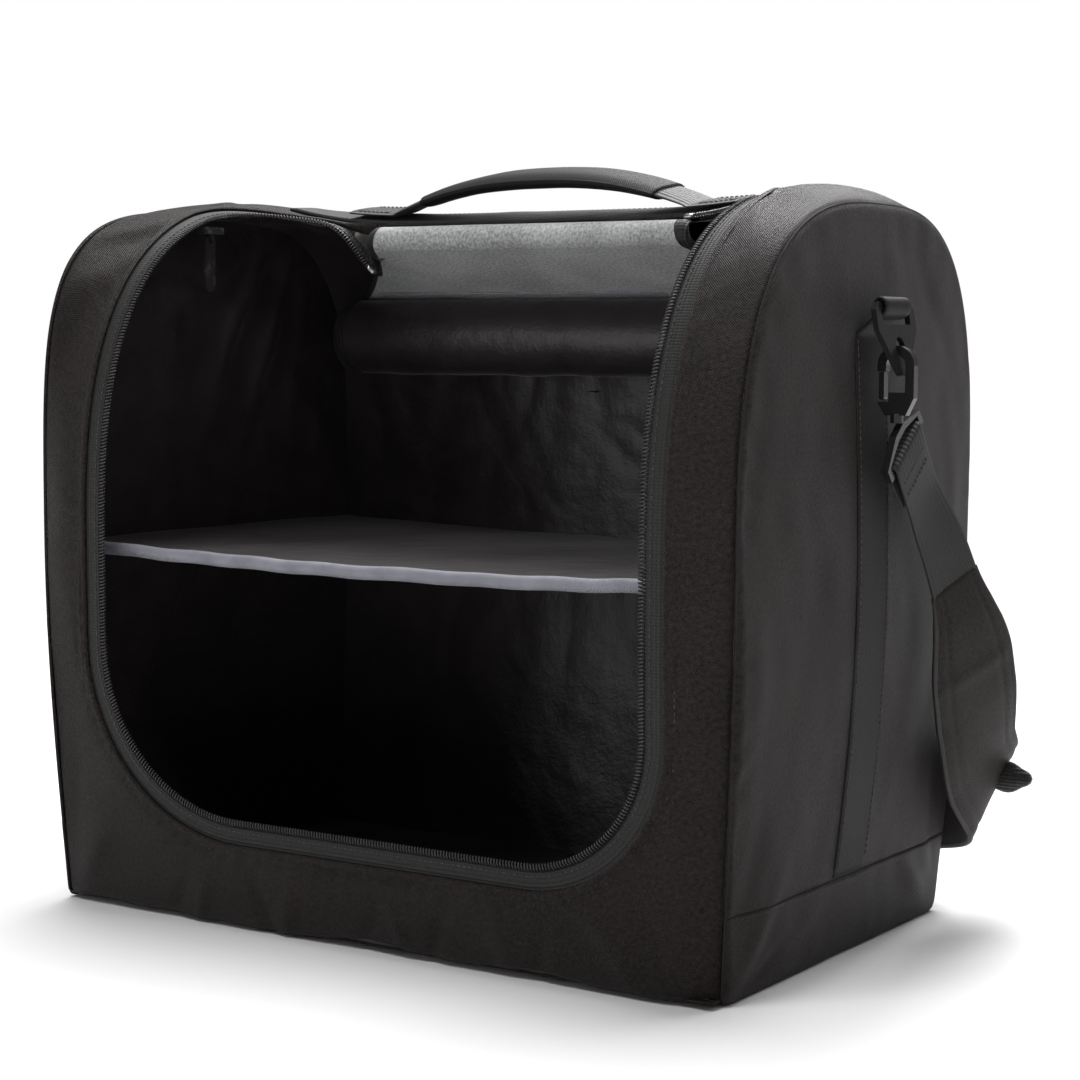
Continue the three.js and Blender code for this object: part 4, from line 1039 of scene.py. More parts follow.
def coil_teeth(name, margin, depth, look):
    """The half of a coil zip: a filament wound round the tape's edge."""
    places = opening_path(margin, 3.0)
    inner = opening_path(margin + 4 * MM, 3.0)
    points, normals = place_on_band(places)
    towards, _ = place_on_band(inner)
    points = points - normals * depth
    inward = square_to(normals, towards - points)
    run = run_along(points)
    per_turn = 8
    count = int(run[-1] / COIL_PITCH) * per_turn
    at = np.linspace(0, run[-1], count)
    centre, out, across = (sample(at, run, values) for values in (points, normals, inward))
    angle = 2 * np.pi * np.arange(count) / per_turn
    turn = across * np.cos(angle)[:, None] * 1.15 + out * np.sin(angle)[:, None] * 0.8
    line = centre + turn * COIL_RADIUS
    along = unit(np.gradient(line, axis=0))
    first = unit(np.cross(along, turn))
    points, faces = tube_faces(line, first, np.cross(along, first), FILAMENT_RADIUS, 5)
    return mesh_object(name, points, faces, look)


STOP_WIDTH, STOP_THICK = 5.5 * MM, 3.4 * MM
# Margin inside the opening's edge and depth below the cloth, in mm, across the tape and the hem
TAPE_ROWS = ((-4, 2.4), (-1, 2.2), (0.5, 1.8), (3, 1.15), (6, 0.95), (9, 1.0), (11.6, 1.2))
HEM_ROWS = ((-3.2, -0.2), (-1.6, -0.75), (-0.3, -0.55), (0.5, 0.1), (0.7, 0.9), (0.3, 1.6),
            (-0.6, 1.9))


def make_zip():
    """The zip's tape, coil and end stops, the turned edge of the shell, and rows of stitches."""
    tape = ribbon_round("zip_tape", TAPE_ROWS, zip_tape)
    thicken(tape, TAPE_THICK)
    settle(tape, ROOT, "webbing", "zipper_tape")
    settle(ribbon_round("opening_hem", HEM_ROWS, woven_polyester), ROOT, "shell_cloth",
           "main_band")

    settle(coil_teeth("zip_coil", COIL_MARGIN, COIL_DEPTH, coil_nylon), ROOT,
           "zip_plastic", "zipper_coil")

    ends = opening_path(COIL_MARGIN)
    for word, at, ahead in (("left", 0, 3), ("right", -1, -4)):
        points, normals = place_on_band(ends[[at, ahead]])
        way = unit(points[1] - points[0])
        middle = points[0] - normals[0] * COIL_DEPTH
        steps = np.linspace(-3, 4, 9)
        line = middle + way * (steps[:, None] * MM)
        round_off = np.sqrt(np.clip(1 - (np.abs(steps - 0.5) / 3.7) ** 4, 0.05, 1))
        across = np.tile(np.cross(normals[0], way), (len(line), 1))
        stop = loft(f"zip_stop_{word}", line, across, STOP_WIDTH * round_off, STOP_THICK * round_off,
                    round_profile(12), plated_steel)
        settle(stop, ROOT, "black_metal")

    for word, margin, depth, relief in (
            ("outer", -5.6 * MM, 0.1 * MM, band_relief), ("tape", 8.3 * MM, 0.8 * MM, None)):
        points, normals = place_on_band(opening_path(margin), relief)
        sew(f"zip_stitches_{word}", points - normals * depth, normals, "shell_cloth")


# Lofts along a line: straps, handle, flap and pad


SPLINE_STEPS = 40


def spline(points, count):
    """Centripetal curve through the points: evenly spaced places on it, and their shares of it."""
    points = [Vector(p) for p in points]
    padded = [2 * points[0] - points[1], *points, 2 * points[-1] - points[-2]]
    fine = []
    for i in range(1, len(padded) - 2):
        p0, p1, p2, p3 = padded[i - 1:i + 3]
        d0, d1, d2 = ((b - a).length ** 0.5 for a, b in ((p0, p1), (p1, p2), (p2, p3)))
        start = ((p1 - p0) / d0 - (p2 - p0) / (d0 + d1) + (p2 - p1) / d1) * d1
        end = ((p2 - p1) / d1 - (p3 - p1) / (d1 + d2) + (p3 - p2) / d2) * d1
        for k in range(SPLINE_STEPS):
            u = k / SPLINE_STEPS
            fine.append(p1 * (2 * u ** 3 - 3 * u ** 2 + 1) + start * (u ** 3 - 2 * u ** 2 + u)
                        + p2 * (3 * u ** 2 - 2 * u ** 3) + end * (u ** 3 - u ** 2))
    fine = np.array([tuple(p) for p in fine] + [tuple(points[-1])])
    run = run_along(fine)
    at = np.linspace(0, run[-1], count)
    return sample(at, run, fine), np.interp(at, run, np.arange(len(run)) / SPLINE_STEPS)


def strap_profile(corner=0.35, across=9):
    """Half-outline points of a flat strap: (u, v) from -0.5 to 0.5, its edges rounded."""
    us = np.linspace(-0.5 + 0.02, 0.5 - 0.02, across)
    top = [(u, 0.5) for u in us]
    right = [(0.5 - 0.006, 0.5 - corner * 0.5), (0.5, 0.0), (0.5 - 0.006, -0.5 + corner * 0.5)]
    bottom = [(u, -0.5) for u in us[::-1]]
    left = [(-u, v) for u, v in right[::-1]]
    return np.array(top + right + bottom + left)


def capped_faces(rings, count):
    """Faces of a closed tube of rings, with one face over each end."""
    last = (rings - 1) * count
    caps = [tuple(range(count))[::-1], tuple(range(last, last + count))]
    return grid_faces(rings, count, wrap=True) + caps


def loft(name, centres, across, width, thick, profile, look):
    """A closed solid swept along centres, with across as the direction of its width."""
    centres, across = np.asarray(centres, float), np.asarray(across, float)
    along = unit(np.gradient(centres, axis=0))
    across = square_to(along, across)
    thin = unit(np.cross(along, across))
    width = np.broadcast_to(width, (len(centres),))
    thick = np.broadcast_to(thick, (len(centres),))
    u, v = profile[:, 0], profile[:, 1]
    points = (centres[:, None, :]
              + across[:, None, :] * (u[None, :] * width[:, None])[..., None]
              + thin[:, None, :] * (v[None, :] * thick[:, None])[..., None])
    uv = np.stack(np.broadcast_arrays(u[None, :] * width[:, None], run_along(centres)[:, None]), -1)
    faces = capped_faces(*points.shape[:2])
    made = mesh_object(name, points, faces, look, uv)
    outward = bmesh.new()
    outward.from_mesh(made.data)
    bmesh.ops.recalc_face_normals(outward, faces=outward.faces)
    outward.to_mesh(made.data)
    outward.free()
    return made


# Flap, rolled up

FLAP_THICK = 4 * MM
FLAP_PITCH = 4.7 * MM
FLAP_LENGTH = 490 * MM
FLAP_TURN = 6 * MM
FLAP_SLOPE = math.radians(20)
FLAP_STRIP = 84 * MM
FLAP_TAPER = 1.6
FLAP_BINDING = 7 * MM
ROLL_RADIUS = 25 * MM
FLAP_GAP = 3.4 * MM
HINGE_GAP = 0.3 * MM


def top_height(x, y):
    """Height of the outer cloth over a place behind the hinge."""
    s = s_at_top(y)
    return float(band_point(x / (BULGE_WIDTH / 2), s)[..., 2])


def flap_line():
    """The flap's line in (y, z) from its hinge, round its turn, down the strip and into the roll."""
    top = top_height(0, HINGE_Y)
    start = np.array([HINGE_Y - HINGE_GAP, top - FLAP_THICK / 2 - HINGE_GAP])
    centre = start + np.array([-3 * MM, -FLAP_TURN])
    turn_end = 1.5 * np.pi - FLAP_SLOPE
    turn = [centre + FLAP_TURN * np.array([math.cos(a), math.sin(a)])
            for a in np.linspace(np.pi / 2, turn_end, 18)]
    heading = np.array([math.cos(FLAP_SLOPE), -math.sin(FLAP_SLOPE)])
    strip = [turn[-1] + heading * d for d in np.linspace(0, FLAP_STRIP, 34)[1:]]
    centre = strip[-1] + ROLL_RADIUS * np.array([heading[1], -heading[0]])
    used = FLAP_TURN * (turn_end - np.pi / 2) + FLAP_STRIP
    step = math.radians(8)
    angle, radius, roll = math.pi / 2 - FLAP_SLOPE - step, ROLL_RADIUS, []
    while used < FLAP_LENGTH and radius > FLAP_THICK:
        roll.append(centre + radius * np.array([math.cos(angle), math.sin(angle)]))
        angle -= step
        used += radius * step
        radius -= FLAP_PITCH * step / (2 * math.pi)
    return np.array([start, *turn, *strip, *roll]), 1 + len(turn) + len(strip)


def make_flap():
    """The front flap: its grey backing shows on the strip, and its satin outside the roll."""
    line, roll_from = flap_line()
    run = run_along(line)
    full = 2 * (OPENING_HALF - TAPE_WIDTH - FLAP_GAP)
    hinge = 2 * (OPENING_HALF - HINGE_CORNER - HINGE_GAP)
    corner = (CORNER_LEFT + CORNER_RIGHT) / 2
    share = np.clip(run / (FLAP_TURN * math.pi + FLAP_STRIP), 0, 1)
    end = np.clip((run[-1] - run) / corner, 0, 1)
    width = mix(hinge, full, share ** FLAP_TAPER) - 2 * corner * (1 - np.sqrt(1 - (1 - end) ** 2))
    columns = 81
    u = np.linspace(-0.5, 0.5, columns)
    along = unit(np.gradient(line, axis=0))
    thin = np.stack([-along[:, 1], along[:, 0]], axis=-1)
    x = u[None, :] * width[:, None]
    runs = np.broadcast_to(run[:, None], x.shape)
    past_foot = (run - run[roll_from])[:, None]
    on_roll = np.clip((run - run[roll_from - 4]) / (12 * MM), 0, 1)[:, None]
    loose = 0.54 * MM * waves(x, runs, 81, 110 * MM) * np.clip(1 - past_foot / (160 * MM), 0, 1)
    dents = 0.8 * MM * waves(x, runs * 0.4, 83, 34 * MM) * on_roll
    dents = dents * np.clip(1 - past_foot / (150 * MM), 0, 1)
    shift = (loose + dents) * np.clip(run / (10 * MM), 0, 1)[:, None]
    edge = np.clip((0.5 - np.abs(u)) * width[:, None] / (2.2 * MM), 0, 1) ** 0.5
    half = FLAP_THICK / 2 * mix(0.35, 0.96, edge)
    layers = []
    for sign in (1, -1):
        off = shift + sign * half
        y = line[:, 0:1] + thin[:, 0:1] * off
        z = line[:, 1:2] + thin[:, 1:2] * off
        layers.append(np.stack([x, y, z], axis=-1))
    points = np.concatenate([layers[0], layers[1][:, ::-1]], axis=1)
    uv = np.concatenate([np.stack([x, runs], -1), np.stack([x[:, ::-1] + 1, runs], -1)], axis=1)
    faces = capped_faces(*points.shape[:2])
    row, column = np.divmod(np.arange(len(faces) - 2), points.shape[1])
    u_of = np.concatenate([np.abs(u), np.abs(u)])[column]
    backing, satin, binding = 0, 1, 2
    looks = np.where(column < columns - 1, satin, backing)
    looks[(0.5 - u_of) * width[row] < FLAP_BINDING] = binding
    looks = np.concatenate([looks, [backing, backing]])
    flap = mesh_object("flap_roll", points, faces,
                       [brushed_backing, satin_lining, zip_tape],
                       uv, looks)
    settle(flap, ROOT, "flap_cloth", "door_flap")
    foot = roll_from - 7
    seat = line[foot] - thin[foot] * (FLAP_THICK / 2 + 0.5 * MM)
    xs = np.linspace(-0.47, 0.47, 120) * width[foot]
    rise = 0.3 * MM * waves(xs, 0 * xs, 85, 70 * MM)
    bead = np.stack([xs, np.full_like(xs, seat[0]), seat[1] + rise], axis=-1)
    down_strip = np.tile([0, 0.94, -0.34], (len(xs), 1))
    settle(loft("flap_edge", bead, down_strip, 2.6 * MM, 2.0 * MM, round_profile(),
                satin_piping), ROOT, "piping_cloth")


# Shelf

SIDE_REACH = 142 * MM
SHELF_GAP = 3.8 * MM
SHELF_HALF_THICK = 1.9 * MM


def shelf_half(y):
    """Half the clear width inside at the shelf, which is widest at the middle of the sides."""
    reach = (y - SIDE_CENTRE[0]) / SIDE_REACH
    return BULGE_WIDTH / 2 - SHELF_GAP + SIDE_BULGE * np.clip(1 - reach * reach, 0, 1)


def shelf_height(share):
    """Height of the sagging shelf, from 0 at its middle to 1 or -1 at its ends."""
    s = sizes()
    return s.shelf_height - s.shelf_sag * (1 - share * share)


def make_shelf():
    """The cloth shelf over its board, and the piping that rounds its front edge."""
    s = sizes()
    front = -s.shelf_front + s.piping_radius * 0.4
    rear = REAR_BULGE - 6 * MM
    share, y = np.meshgrid(np.linspace(-1, 1, 120), np.linspace(front, rear, 66))
    half = shelf_half(y)
    x = share * half
    relief = 0.7 * MM * waves(x, y, 91, 80 * MM)
    rim = np.clip((1 - np.abs(share)) * half / (5 * MM), 0, 1)
    layers = []
    for sign in (1, -1):
        half_thick = sign * SHELF_HALF_THICK * mix(0.3, 1, rim ** 0.5)
        z = shelf_height(share) + half_thick + relief * rim
        layers.append(np.stack([x, y, z], axis=-1))
    uv = np.stack([x, y], axis=-1)
    rows, columns = x.shape
    top = grid_faces(rows, columns)
    offset = rows * columns
    under = [tuple(i + offset for i in reversed(f)) for f in top]
    points = np.stack(layers)
    shelf = mesh_object("shelf_cloth", points, top + under, satin_lining,
                        np.stack([uv, uv]))
    settle(shelf, ROOT, "lining_cloth", "shelf")

    count, sides = 220, 14
    share = np.linspace(-0.992, 0.992, count)
    wobble = waves(share * 0.2, share * 0.05, 95, 60 * MM)
    x = share * shelf_half(np.full(count, -s.shelf_front))
    centre = np.stack([x, -s.shelf_front + 0.5 * MM * wobble, shelf_height(share)
                       + 0.4 * MM * waves(share * 0.3, share * 0.1, 96, 50 * MM)], axis=-1)
    angle = 2 * np.pi * np.arange(sides) / sides
    radius = s.piping_radius * (1 + 0.03 * wobble)
    points = centre[:, None, :] + radius[:, None, None] * np.stack(
        [np.zeros(sides), np.cos(angle), np.sin(angle)], axis=-1)[None]
    uv = np.stack(np.broadcast_arrays(angle * s.piping_radius, x[:, None]), axis=-1)
    faces = grid_faces(count, sides, wrap=True)
    faces += [tuple(range(sides)), tuple(range((count - 1) * sides, count * sides))[::-1]]
    piping = mesh_object("shelf_edge", points, faces, satin_piping,
                         uv)
    settle(piping, ROOT, "piping_cloth", "shelf_piping")


# Top band and handle

BINDING_FRONT = HINGE_Y + 2.3 * MM
BINDING_WIDTH = 34 * MM
BINDING_THICK = 1.2 * MM
SEW_MARGIN = 2.6 * MM
HANDLE_Y = 54 * MM
HANDLE_TAB = 137 * MM
HANDLE_FOOT = 104 * MM
HANDLE_RISE = 16 * MM
HANDLE_LIFT = 2.7 * MM
GRIP_HALF = 84 * MM


def make_top():
    """The reinforcing band behind the hinge, and the carry handle sewn down on it."""
    half = OPENING_HALF - TAPE_WIDTH
    s_low, s_high = s_at_top(BINDING_FRONT), s_at_top(BINDING_FRONT + BINDING_WIDTH)
    x, s = np.meshgrid(np.linspace(-half, half, 140), np.linspace(s_low, s_high, 18))
    point, normal = place_on_band(np.stack([x, s], axis=-1))
    edge = np.minimum(np.minimum(s - s_low, s_high - s), half - np.abs(x))
    lift = mix(0.5 * MM, 1.7 * MM, np.clip(edge / (1.2 * MM), 0, 1))
    lift = lift + 0.25 * MM * waves(x, s, 101, 60 * MM)
    points = point + normal * lift[..., None]
    uv = np.stack([s, x], axis=-1)
    band = mesh_object("top_band", points, grid_faces(*x.shape),
                       ribbed_webbing, uv)
    thicken(band, BINDING_THICK)
    settle(band, ROOT, "webbing", "top_binding")
    for word, s_row in (("front", s_low + SEW_MARGIN), ("back", s_high - SEW_MARGIN)):
        xs = np.linspace(-half + 3 * MM, half - 3 * MM, 200)
        point, normal = place_on_band(np.stack([xs, np.full_like(xs, s_row)], axis=-1))
        sew(f"band_stitches_{word}", point + normal * 1.5 * MM, normal, radius=0.32 * MM)
    make_handle()


def handle_seat(x, width):
    """Height and slope of a flat bar across the top, lifted clear of its curve."""
    ys = np.linspace(HANDLE_Y - width / 2 + 3 * MM, HANDLE_Y + width / 2, 6)
    zs = np.array([top_height(x, y) for y in ys])
    slope = (zs[-1] - zs[0]) / (ys[-1] - ys[0])
    above = max(zs - np.linspace(zs[0], zs[-1], 6))
    return zs[0] + slope * (HANDLE_Y - ys[0]) + above, slope


def make_handle():
    """The webbing handle, arched between its sewn tabs, and the cloth wrapped round its middle."""
    width = sizes().handle_width
    xs = np.concatenate([np.linspace(-HANDLE_TAB, -HANDLE_FOOT, 14, endpoint=False),
                         np.linspace(-HANDLE_FOOT, HANDLE_FOOT, 90),
                         np.linspace(HANDLE_FOOT, HANDLE_TAB, 15)[1:]])
    share = np.clip(np.abs(xs) / HANDLE_FOOT, 0, 1)
    seats, slopes = np.array([handle_seat(x, width) for x in xs]).T
    thick = mix(8 * MM, 3 * MM, share ** 2)
    rise = HANDLE_RISE * np.cos(np.pi / 2 * share ** 1.3) ** 0.9
    z = seats + HANDLE_LIFT + thick / 2 + rise
    centres = np.stack([xs, np.full_like(xs, HANDLE_Y), z], axis=-1)
    across = np.stack([np.zeros_like(xs), np.ones_like(xs), slopes], axis=-1)
    u, v = strap_profile(0.7, 11).T
    round_v = np.sign(v) * 0.5 * (1 - np.abs(u * 2) ** 3.2) ** 0.55
    edge_v = np.sign(v + 1e-9) * 0.12
    rounded = np.stack([u, np.where(np.abs(round_v) < 0.12, edge_v, round_v)], axis=-1)
    handle = loft("handle_strap", centres, across, width, thick, rounded, ribbed_webbing)
    settle(handle, ROOT, "webbing", "carry_handle")
    inside = np.abs(xs) <= GRIP_HALF + 1 * MM
    swell = 1 + 0.02 * waves(xs[inside], xs[inside] * 0.2, 105, 30 * MM)
    grip = loft("handle_wrap", centres[inside], across[inside], (width + 2.6 * MM) * swell,
                (thick[inside] + 3.0 * MM) * swell, rounded, grip_cloth)
    settle(grip, ROOT, "webbing", "handle_grip")
    for word, side in SIDES:
        box_stitches(f"tab_stitches_{word}", side, width)


def box_stitches(name, side, width):
    """The sewn box and cross that hold an end of the handle."""
    low, high = HANDLE_FOOT + 6 * MM, HANDLE_TAB - 4 * MM
    half = width / 2 - 4 * MM
    corners = [(low, -half), (high, -half), (high, half), (low, half), (low, -half), (high, half),
               (high, -half), (low, half)]
    rows = []
    for (x0, v0), (x1, v1) in zip(corners[:-1], corners[1:]):
        rows += [(mix(x0, x1, k / 12), mix(v0, v1, k / 12)) for k in range(12)]
    points = []
    for x, v in rows:
        seat, slope = handle_seat(side * x, width)
        points.append((side * x, HANDLE_Y + v, seat + HANDLE_LIFT + 2.85 * MM + slope * v))
    normals = np.broadcast_to(np.array([0, 0, 1.0]), (len(points), 3))
    sew(name, np.array(points), normals, length=2.4 * MM, pitch=3.2 * MM, radius=0.4 * MM)


# Side webbing

WEB_WIDTH = 38 * MM
WEB_THICK = 1.5 * MM
WEB_LIFT = 1.7 * MM
WEB_ROW = 16.4 * MM
LOOP_WIDTH = 30 * MM
RING_STANDOFF = 15 * MM
RING_BAR_Z = 350 * MM


def side_x(z):
    """Outer face of a side on the upright line through its middle."""
    head = float(band_point(1.0, s_at_top(FITTING_Y))[2])
    reach = np.where(z > SIDE_CENTRE[1], head - SIDE_CENTRE[1], SIDE_CENTRE[1])
    share = np.clip(np.abs(z - SIDE_CENTRE[1]) / reach, 0, 1)
    return half_width(z) + SIDE_BULGE * (1 - share ** 2)


def make_side_webbing():
    """The webbing up each side: sewn along both edges, and looped round the ring's bar."""
    ring_x = float(side_x(np.array(RING_BAR_Z))) + RING_STANDOFF
    foot, leave = SIDE_BAND_HEIGHT + 2 * MM, RING_BAR_Z - 14 * MM
    zs = np.linspace(foot, leave, 90)
    lift = WEB_LIFT + 0.2 * MM * waves(zs, zs * 0.2, 111, 60 * MM)
    lift[0:2] -= 0.5 * MM
    sewn = np.stack([side_x(zs) + lift, np.full_like(zs, FITTING_Y), zs], axis=-1)
    across_x, over_z = 3.45 * MM, 4.55 * MM
    loop = [(ring_x - across_x - 0.6 * MM, RING_BAR_Z - over_z - 1.5 * MM)]
    loop += [(ring_x + across_x * math.cos(a), RING_BAR_Z + over_z * math.sin(a))
             for a in np.radians(np.arange(180, -61, -15))]
    loop += [(ring_x - 0.4 * MM, RING_BAR_Z - over_z - 0.9 * MM),
             (ring_x - 1.9 * MM, RING_BAR_Z - over_z - 1.4 * MM)]
    loop = np.array([(x, FITTING_Y, z) for x, z in loop])
    bridge = [sewn[-1] * (1 - f) + loop[0] * f for f in (0.33, 0.66)]
    centres = np.concatenate([sewn, bridge, loop])
    width = np.concatenate([np.full(len(sewn) - 3, WEB_WIDTH),
                            np.linspace(WEB_WIDTH - 1 * MM, LOOP_WIDTH, 5),
                            np.full(len(loop), LOOP_WIDTH)])
    for word, side in SIDES:
        placed = centres * [side, 1, 1]
        across = np.tile([0.0, 1.0, 0.0], (len(placed), 1))
        web = loft(f"side_strap_{word}", placed, across, width, WEB_THICK, strap_profile(),
                   flat_webbing)
        settle(web, ROOT, "webbing", f"side_webbing_{word}")
        for edge_word, shift in (("front", -WEB_ROW), ("back", WEB_ROW)):
            row = sewn[2:] * [side, 1, 1] + np.array([side * 0.85 * MM, shift, 0])
            normals = np.tile([float(side), 0.0, 0.0], (len(row), 1))
            sew(f"side_stitches_{edge_word}_{word}", row, normals)


# Shoulder strap and pad

EYE_ORIGIN = (5.0 * MM, 286.0 * MM)
HOOK_X = 251.73 * MM
EYE_TILT = math.radians(40)
EYE_DEPTH = 16 * MM
EYE_BAR = 4 * MM
STRAP_END = 36 * MM
STRAP_THICK = 1.6 * MM
STRAP_STANDOFF = 22 * MM
PAD_THICK = 6 * MM
PAD_TAPER = 58 * MM
PAD_RIDGE, PAD_RIDGE_AT = 1.6 * MM, 56 * MM
PAD_BINDING = 3.2 * MM
PAD_START, PAD_END = 0.075, 0.36
# Out beyond the side, share of the way to the rear line, share of the eye's height, then the
# direction across the strap.
SIDE_ROUTE = (
    (21 * MM, 0.14, 0.87, (0.2, 0.76, 0.6)), (25 * MM, 0.29, 0.69, (0.35, 0.75, 0.5)),
    (22 * MM, 0.45, 0.52, (0.4, 0.7, 0.5)), (15 * MM, 0.63, 0.38, (0.35, 0.65, 0.65)),
    (6 * MM, 0.87, 0.28, (0.25, 0.45, 0.85)),
)
# Share of the half width, share of the eye's height, and the direction across the strap.
REAR_ROUTE = (
    (0.84, 0.235, (0, 0.1, 1)), (0.55, 0.18, (0, 0, 1)), (0.25, 0.15, (0, 0, 1)),
    (0.0, 0.145, (0, 0, 1)),
)
EYE_BAR_WAY = np.array([0, math.cos(EYE_TILT), math.sin(EYE_TILT)])
EYE_AWAY = np.array([0, math.sin(EYE_TILT), -math.cos(EYE_TILT)])


def eye_at(distance, x):
    """A place at a distance down the tilted swivel eye."""
    return np.array([x, EYE_ORIGIN[0], EYE_ORIGIN[1]]) + EYE_AWAY * distance


def strap_line(count=400):
    """Centres and directions across the strap, from the right eye round the back to the left one."""
    side = float(side_x(np.array(SIDE_CENTRE[1])))
    rear = REAR_BULGE + STRAP_STANDOFF
    end = eye_at(EYE_DEPTH + STRAP_END, HOOK_X + 1.6 * MM)
    rows = [(eye_at(EYE_DEPTH + 14 * MM, HOOK_X + 2.2 * MM), EYE_BAR_WAY), (end, EYE_BAR_WAY)]
    for out, back, up, across in SIDE_ROUTE:
        rows.append((np.array([side + out, mix(end[1], rear, back), end[2] * up]), np.array(across)))
    for along, up, across in REAR_ROUTE:
        rows.append((np.array([side * along, rear, end[2] * up]), np.array(across, float)))
    mirror = np.array([-1, 1, 1])
    rows += [(at * mirror, across * mirror) for at, across in rows[-2::-1]]
    centres, place = spline([at for at, _ in rows], count)
    ways = unit(np.array([across for _, across in rows], dtype=float))
    return centres, sample(place, np.arange(len(ways)), ways)


def eye_loop(sign):
    """The strap's end, up behind the eye's bar and round it."""
    bar = EYE_DEPTH - EYE_BAR / 2
    reach = EYE_BAR / 2 + 1.35 * MM
    route = [(EYE_DEPTH + 24 * MM, -1.2 * MM), (EYE_DEPTH + 6 * MM, 0.6 * MM - reach)]
    route += [(bar - reach * math.sin(a) * 1.02, -reach * math.cos(a))
              for a in np.radians(np.arange(15, 166, 15))]
    return np.array([eye_at(v, HOOK_X + x) for v, x in route]) * [sign, 1, 1]


def make_straps():
    """The webbing of the shoulder strap, in the two lengths either side of its pad."""
    centres, across = strap_line()
    share = np.linspace(0, 1, len(centres))
    width = sizes().strap_width
    for word, sign in SIDES:
        part = share < PAD_START + 0.006 if sign > 0 else share > PAD_END - 0.006
        loop = eye_loop(sign)
        loop_across = np.tile(EYE_BAR_WAY, (len(loop), 1))
        if sign > 0:
            line = np.concatenate([loop, centres[part]])
            ways = np.concatenate([loop_across, across[part]])
        else:
            line = np.concatenate([centres[part], loop[::-1]])
            ways = np.concatenate([across[part], loop_across * [-1, 1, 1]])
        strap = loft(f"strap_{word}", line, ways, width, STRAP_THICK, strap_profile(),
                     ribbed_webbing)
        settle(strap, ROOT, "webbing", f"shoulder_strap_{word}")
        sew_strap_end(word, sign, width)
    make_pad(centres, across, share)
    make_keeper()


def sew_strap_end(word, sign, width):
    """The two rows of stitches that close the strap's loop below the eye."""
    for k, distance in enumerate((EYE_DEPTH + 9 * MM, EYE_DEPTH + 17 * MM)):
        us = np.linspace(-width / 2 + 3 * MM, width / 2 - 3 * MM, 40)
        row = eye_at(distance, HOOK_X + 3.4 * MM) + EYE_BAR_WAY * us[:, None]
        row = row * [sign, 1, 1]
        normals = np.tile([float(sign), 0.0, 0.0], (len(row), 1))
        sew(f"strap_stitches_{word}_{k}", row, normals, pitch=3.4 * MM, radius=0.4 * MM)


def make_pad(centres, across, share):
    """The shoulder pad: cloth over foam, quilted down its middle and bound round its edge."""
    part = (share > PAD_START - 0.002) & (share < PAD_END + 0.002)
    line, ways = centres[part], across[part]
    local = np.linspace(0, 1, len(line))
    run = run_along(line)
    ends = np.clip(np.minimum(run, run[-1] - run) / PAD_TAPER, 0, 1)
    swell = ends * ends * (3 - 2 * ends)
    width = sizes().pad_width * mix(0.66, 1.0, swell)
    thick = PAD_THICK * mix(0.4, 1.0, np.clip(ends * 2.5, 0, 1) ** 0.6)
    thick = thick * (1 + 0.05 * waves(local * 0.3, local * 0.1, 121, 40 * MM))
    thick = thick + PAD_RIDGE * np.exp(-((run - PAD_RIDGE_AT) / (5 * MM)) ** 2)
    us = np.linspace(-0.5, 0.5, 25)
    crown = np.maximum(0.5 * (1 - np.abs(us * 2) ** 3.5) ** 0.5, 0.16)
    crown = crown - 0.10 * np.exp(-((np.abs(us) - 0.33) / 0.03) ** 2)
    profile = np.concatenate([np.stack([us, crown], -1), np.stack([us[::-1], -crown[::-1]], -1)])
    pad = loft("pad_cushion", line, ways, width, thick, profile, pad_polyester)
    settle(pad, ROOT, "shell_cloth", "shoulder_pad")
    ways = square_to(unit(np.gradient(line, axis=0)), ways)
    girth = PAD_BINDING * mix(0.35, 1, np.clip(ends * 3, 0, 1))
    for word, sign in (("upper", 1), ("lower", -1)):
        edge = line + ways * (sign * (width / 2 - 0.6 * MM))[:, None]
        settle(loft(f"pad_binding_{word}", edge, ways, girth, girth, round_profile(),
                    edge_tape), ROOT, "webbing")


KEEPER_Y, KEEPER_Z = 150 * MM, 79 * MM
KEEPER_FROM, KEEPER_TO = 12 * MM, 35 * MM
KEEPER_HALF = 9 * MM


def make_keeper():
    """The leaf-shaped loop of cloth that stands out from the pad near the rear corner."""
    out, across = np.meshgrid(np.linspace(0, 1, 22), np.linspace(-1, 1, 15), indexing="ij")
    waist = mix(0.75, 1, np.sin(np.pi * np.clip(out * 1.4, 0, 1)))
    taper = np.sqrt(np.clip(1 - out ** 2.4, 0, 1)) * waist
    x = side_x(np.array(SIDE_CENTRE[1])) + mix(KEEPER_FROM, KEEPER_TO, out)
    z = KEEPER_Z + 1 * MM * out + across * KEEPER_HALF * taper
    cup = 4.5 * MM * (across ** 2 - 0.4) * taper
    y = KEEPER_Y + 1 * MM + cup
    points = np.stack([x, y, z], axis=-1)
    uv = np.stack([z, x], axis=-1)
    leaf = mesh_object("keeper_leaf", points, grid_faces(*x.shape),
                       edge_tape, uv)
    thicken(leaf, 0.9 * MM, 0.0)
    settle(leaf, ROOT, "moulded_plastic", "pad_keeper")
    rim = np.concatenate([points[:, 0], points[::-1, -1]])
    ways = np.tile([0.0, 1.0, 0.0], (len(rim), 1))
    edge = loft("keeper_edge", rim, ways, 1.3 * MM, 1.3 * MM, round_profile(8), satin_piping)
    settle(edge, ROOT, "piping_cloth")


def round_profile(count=10):
    """Outline of a round cord, one unit across."""
    angle = 2 * np.pi * np.arange(count) / count
    return 0.5 * np.stack([np.cos(angle), np.sin(angle)], axis=-1)


# Hardware


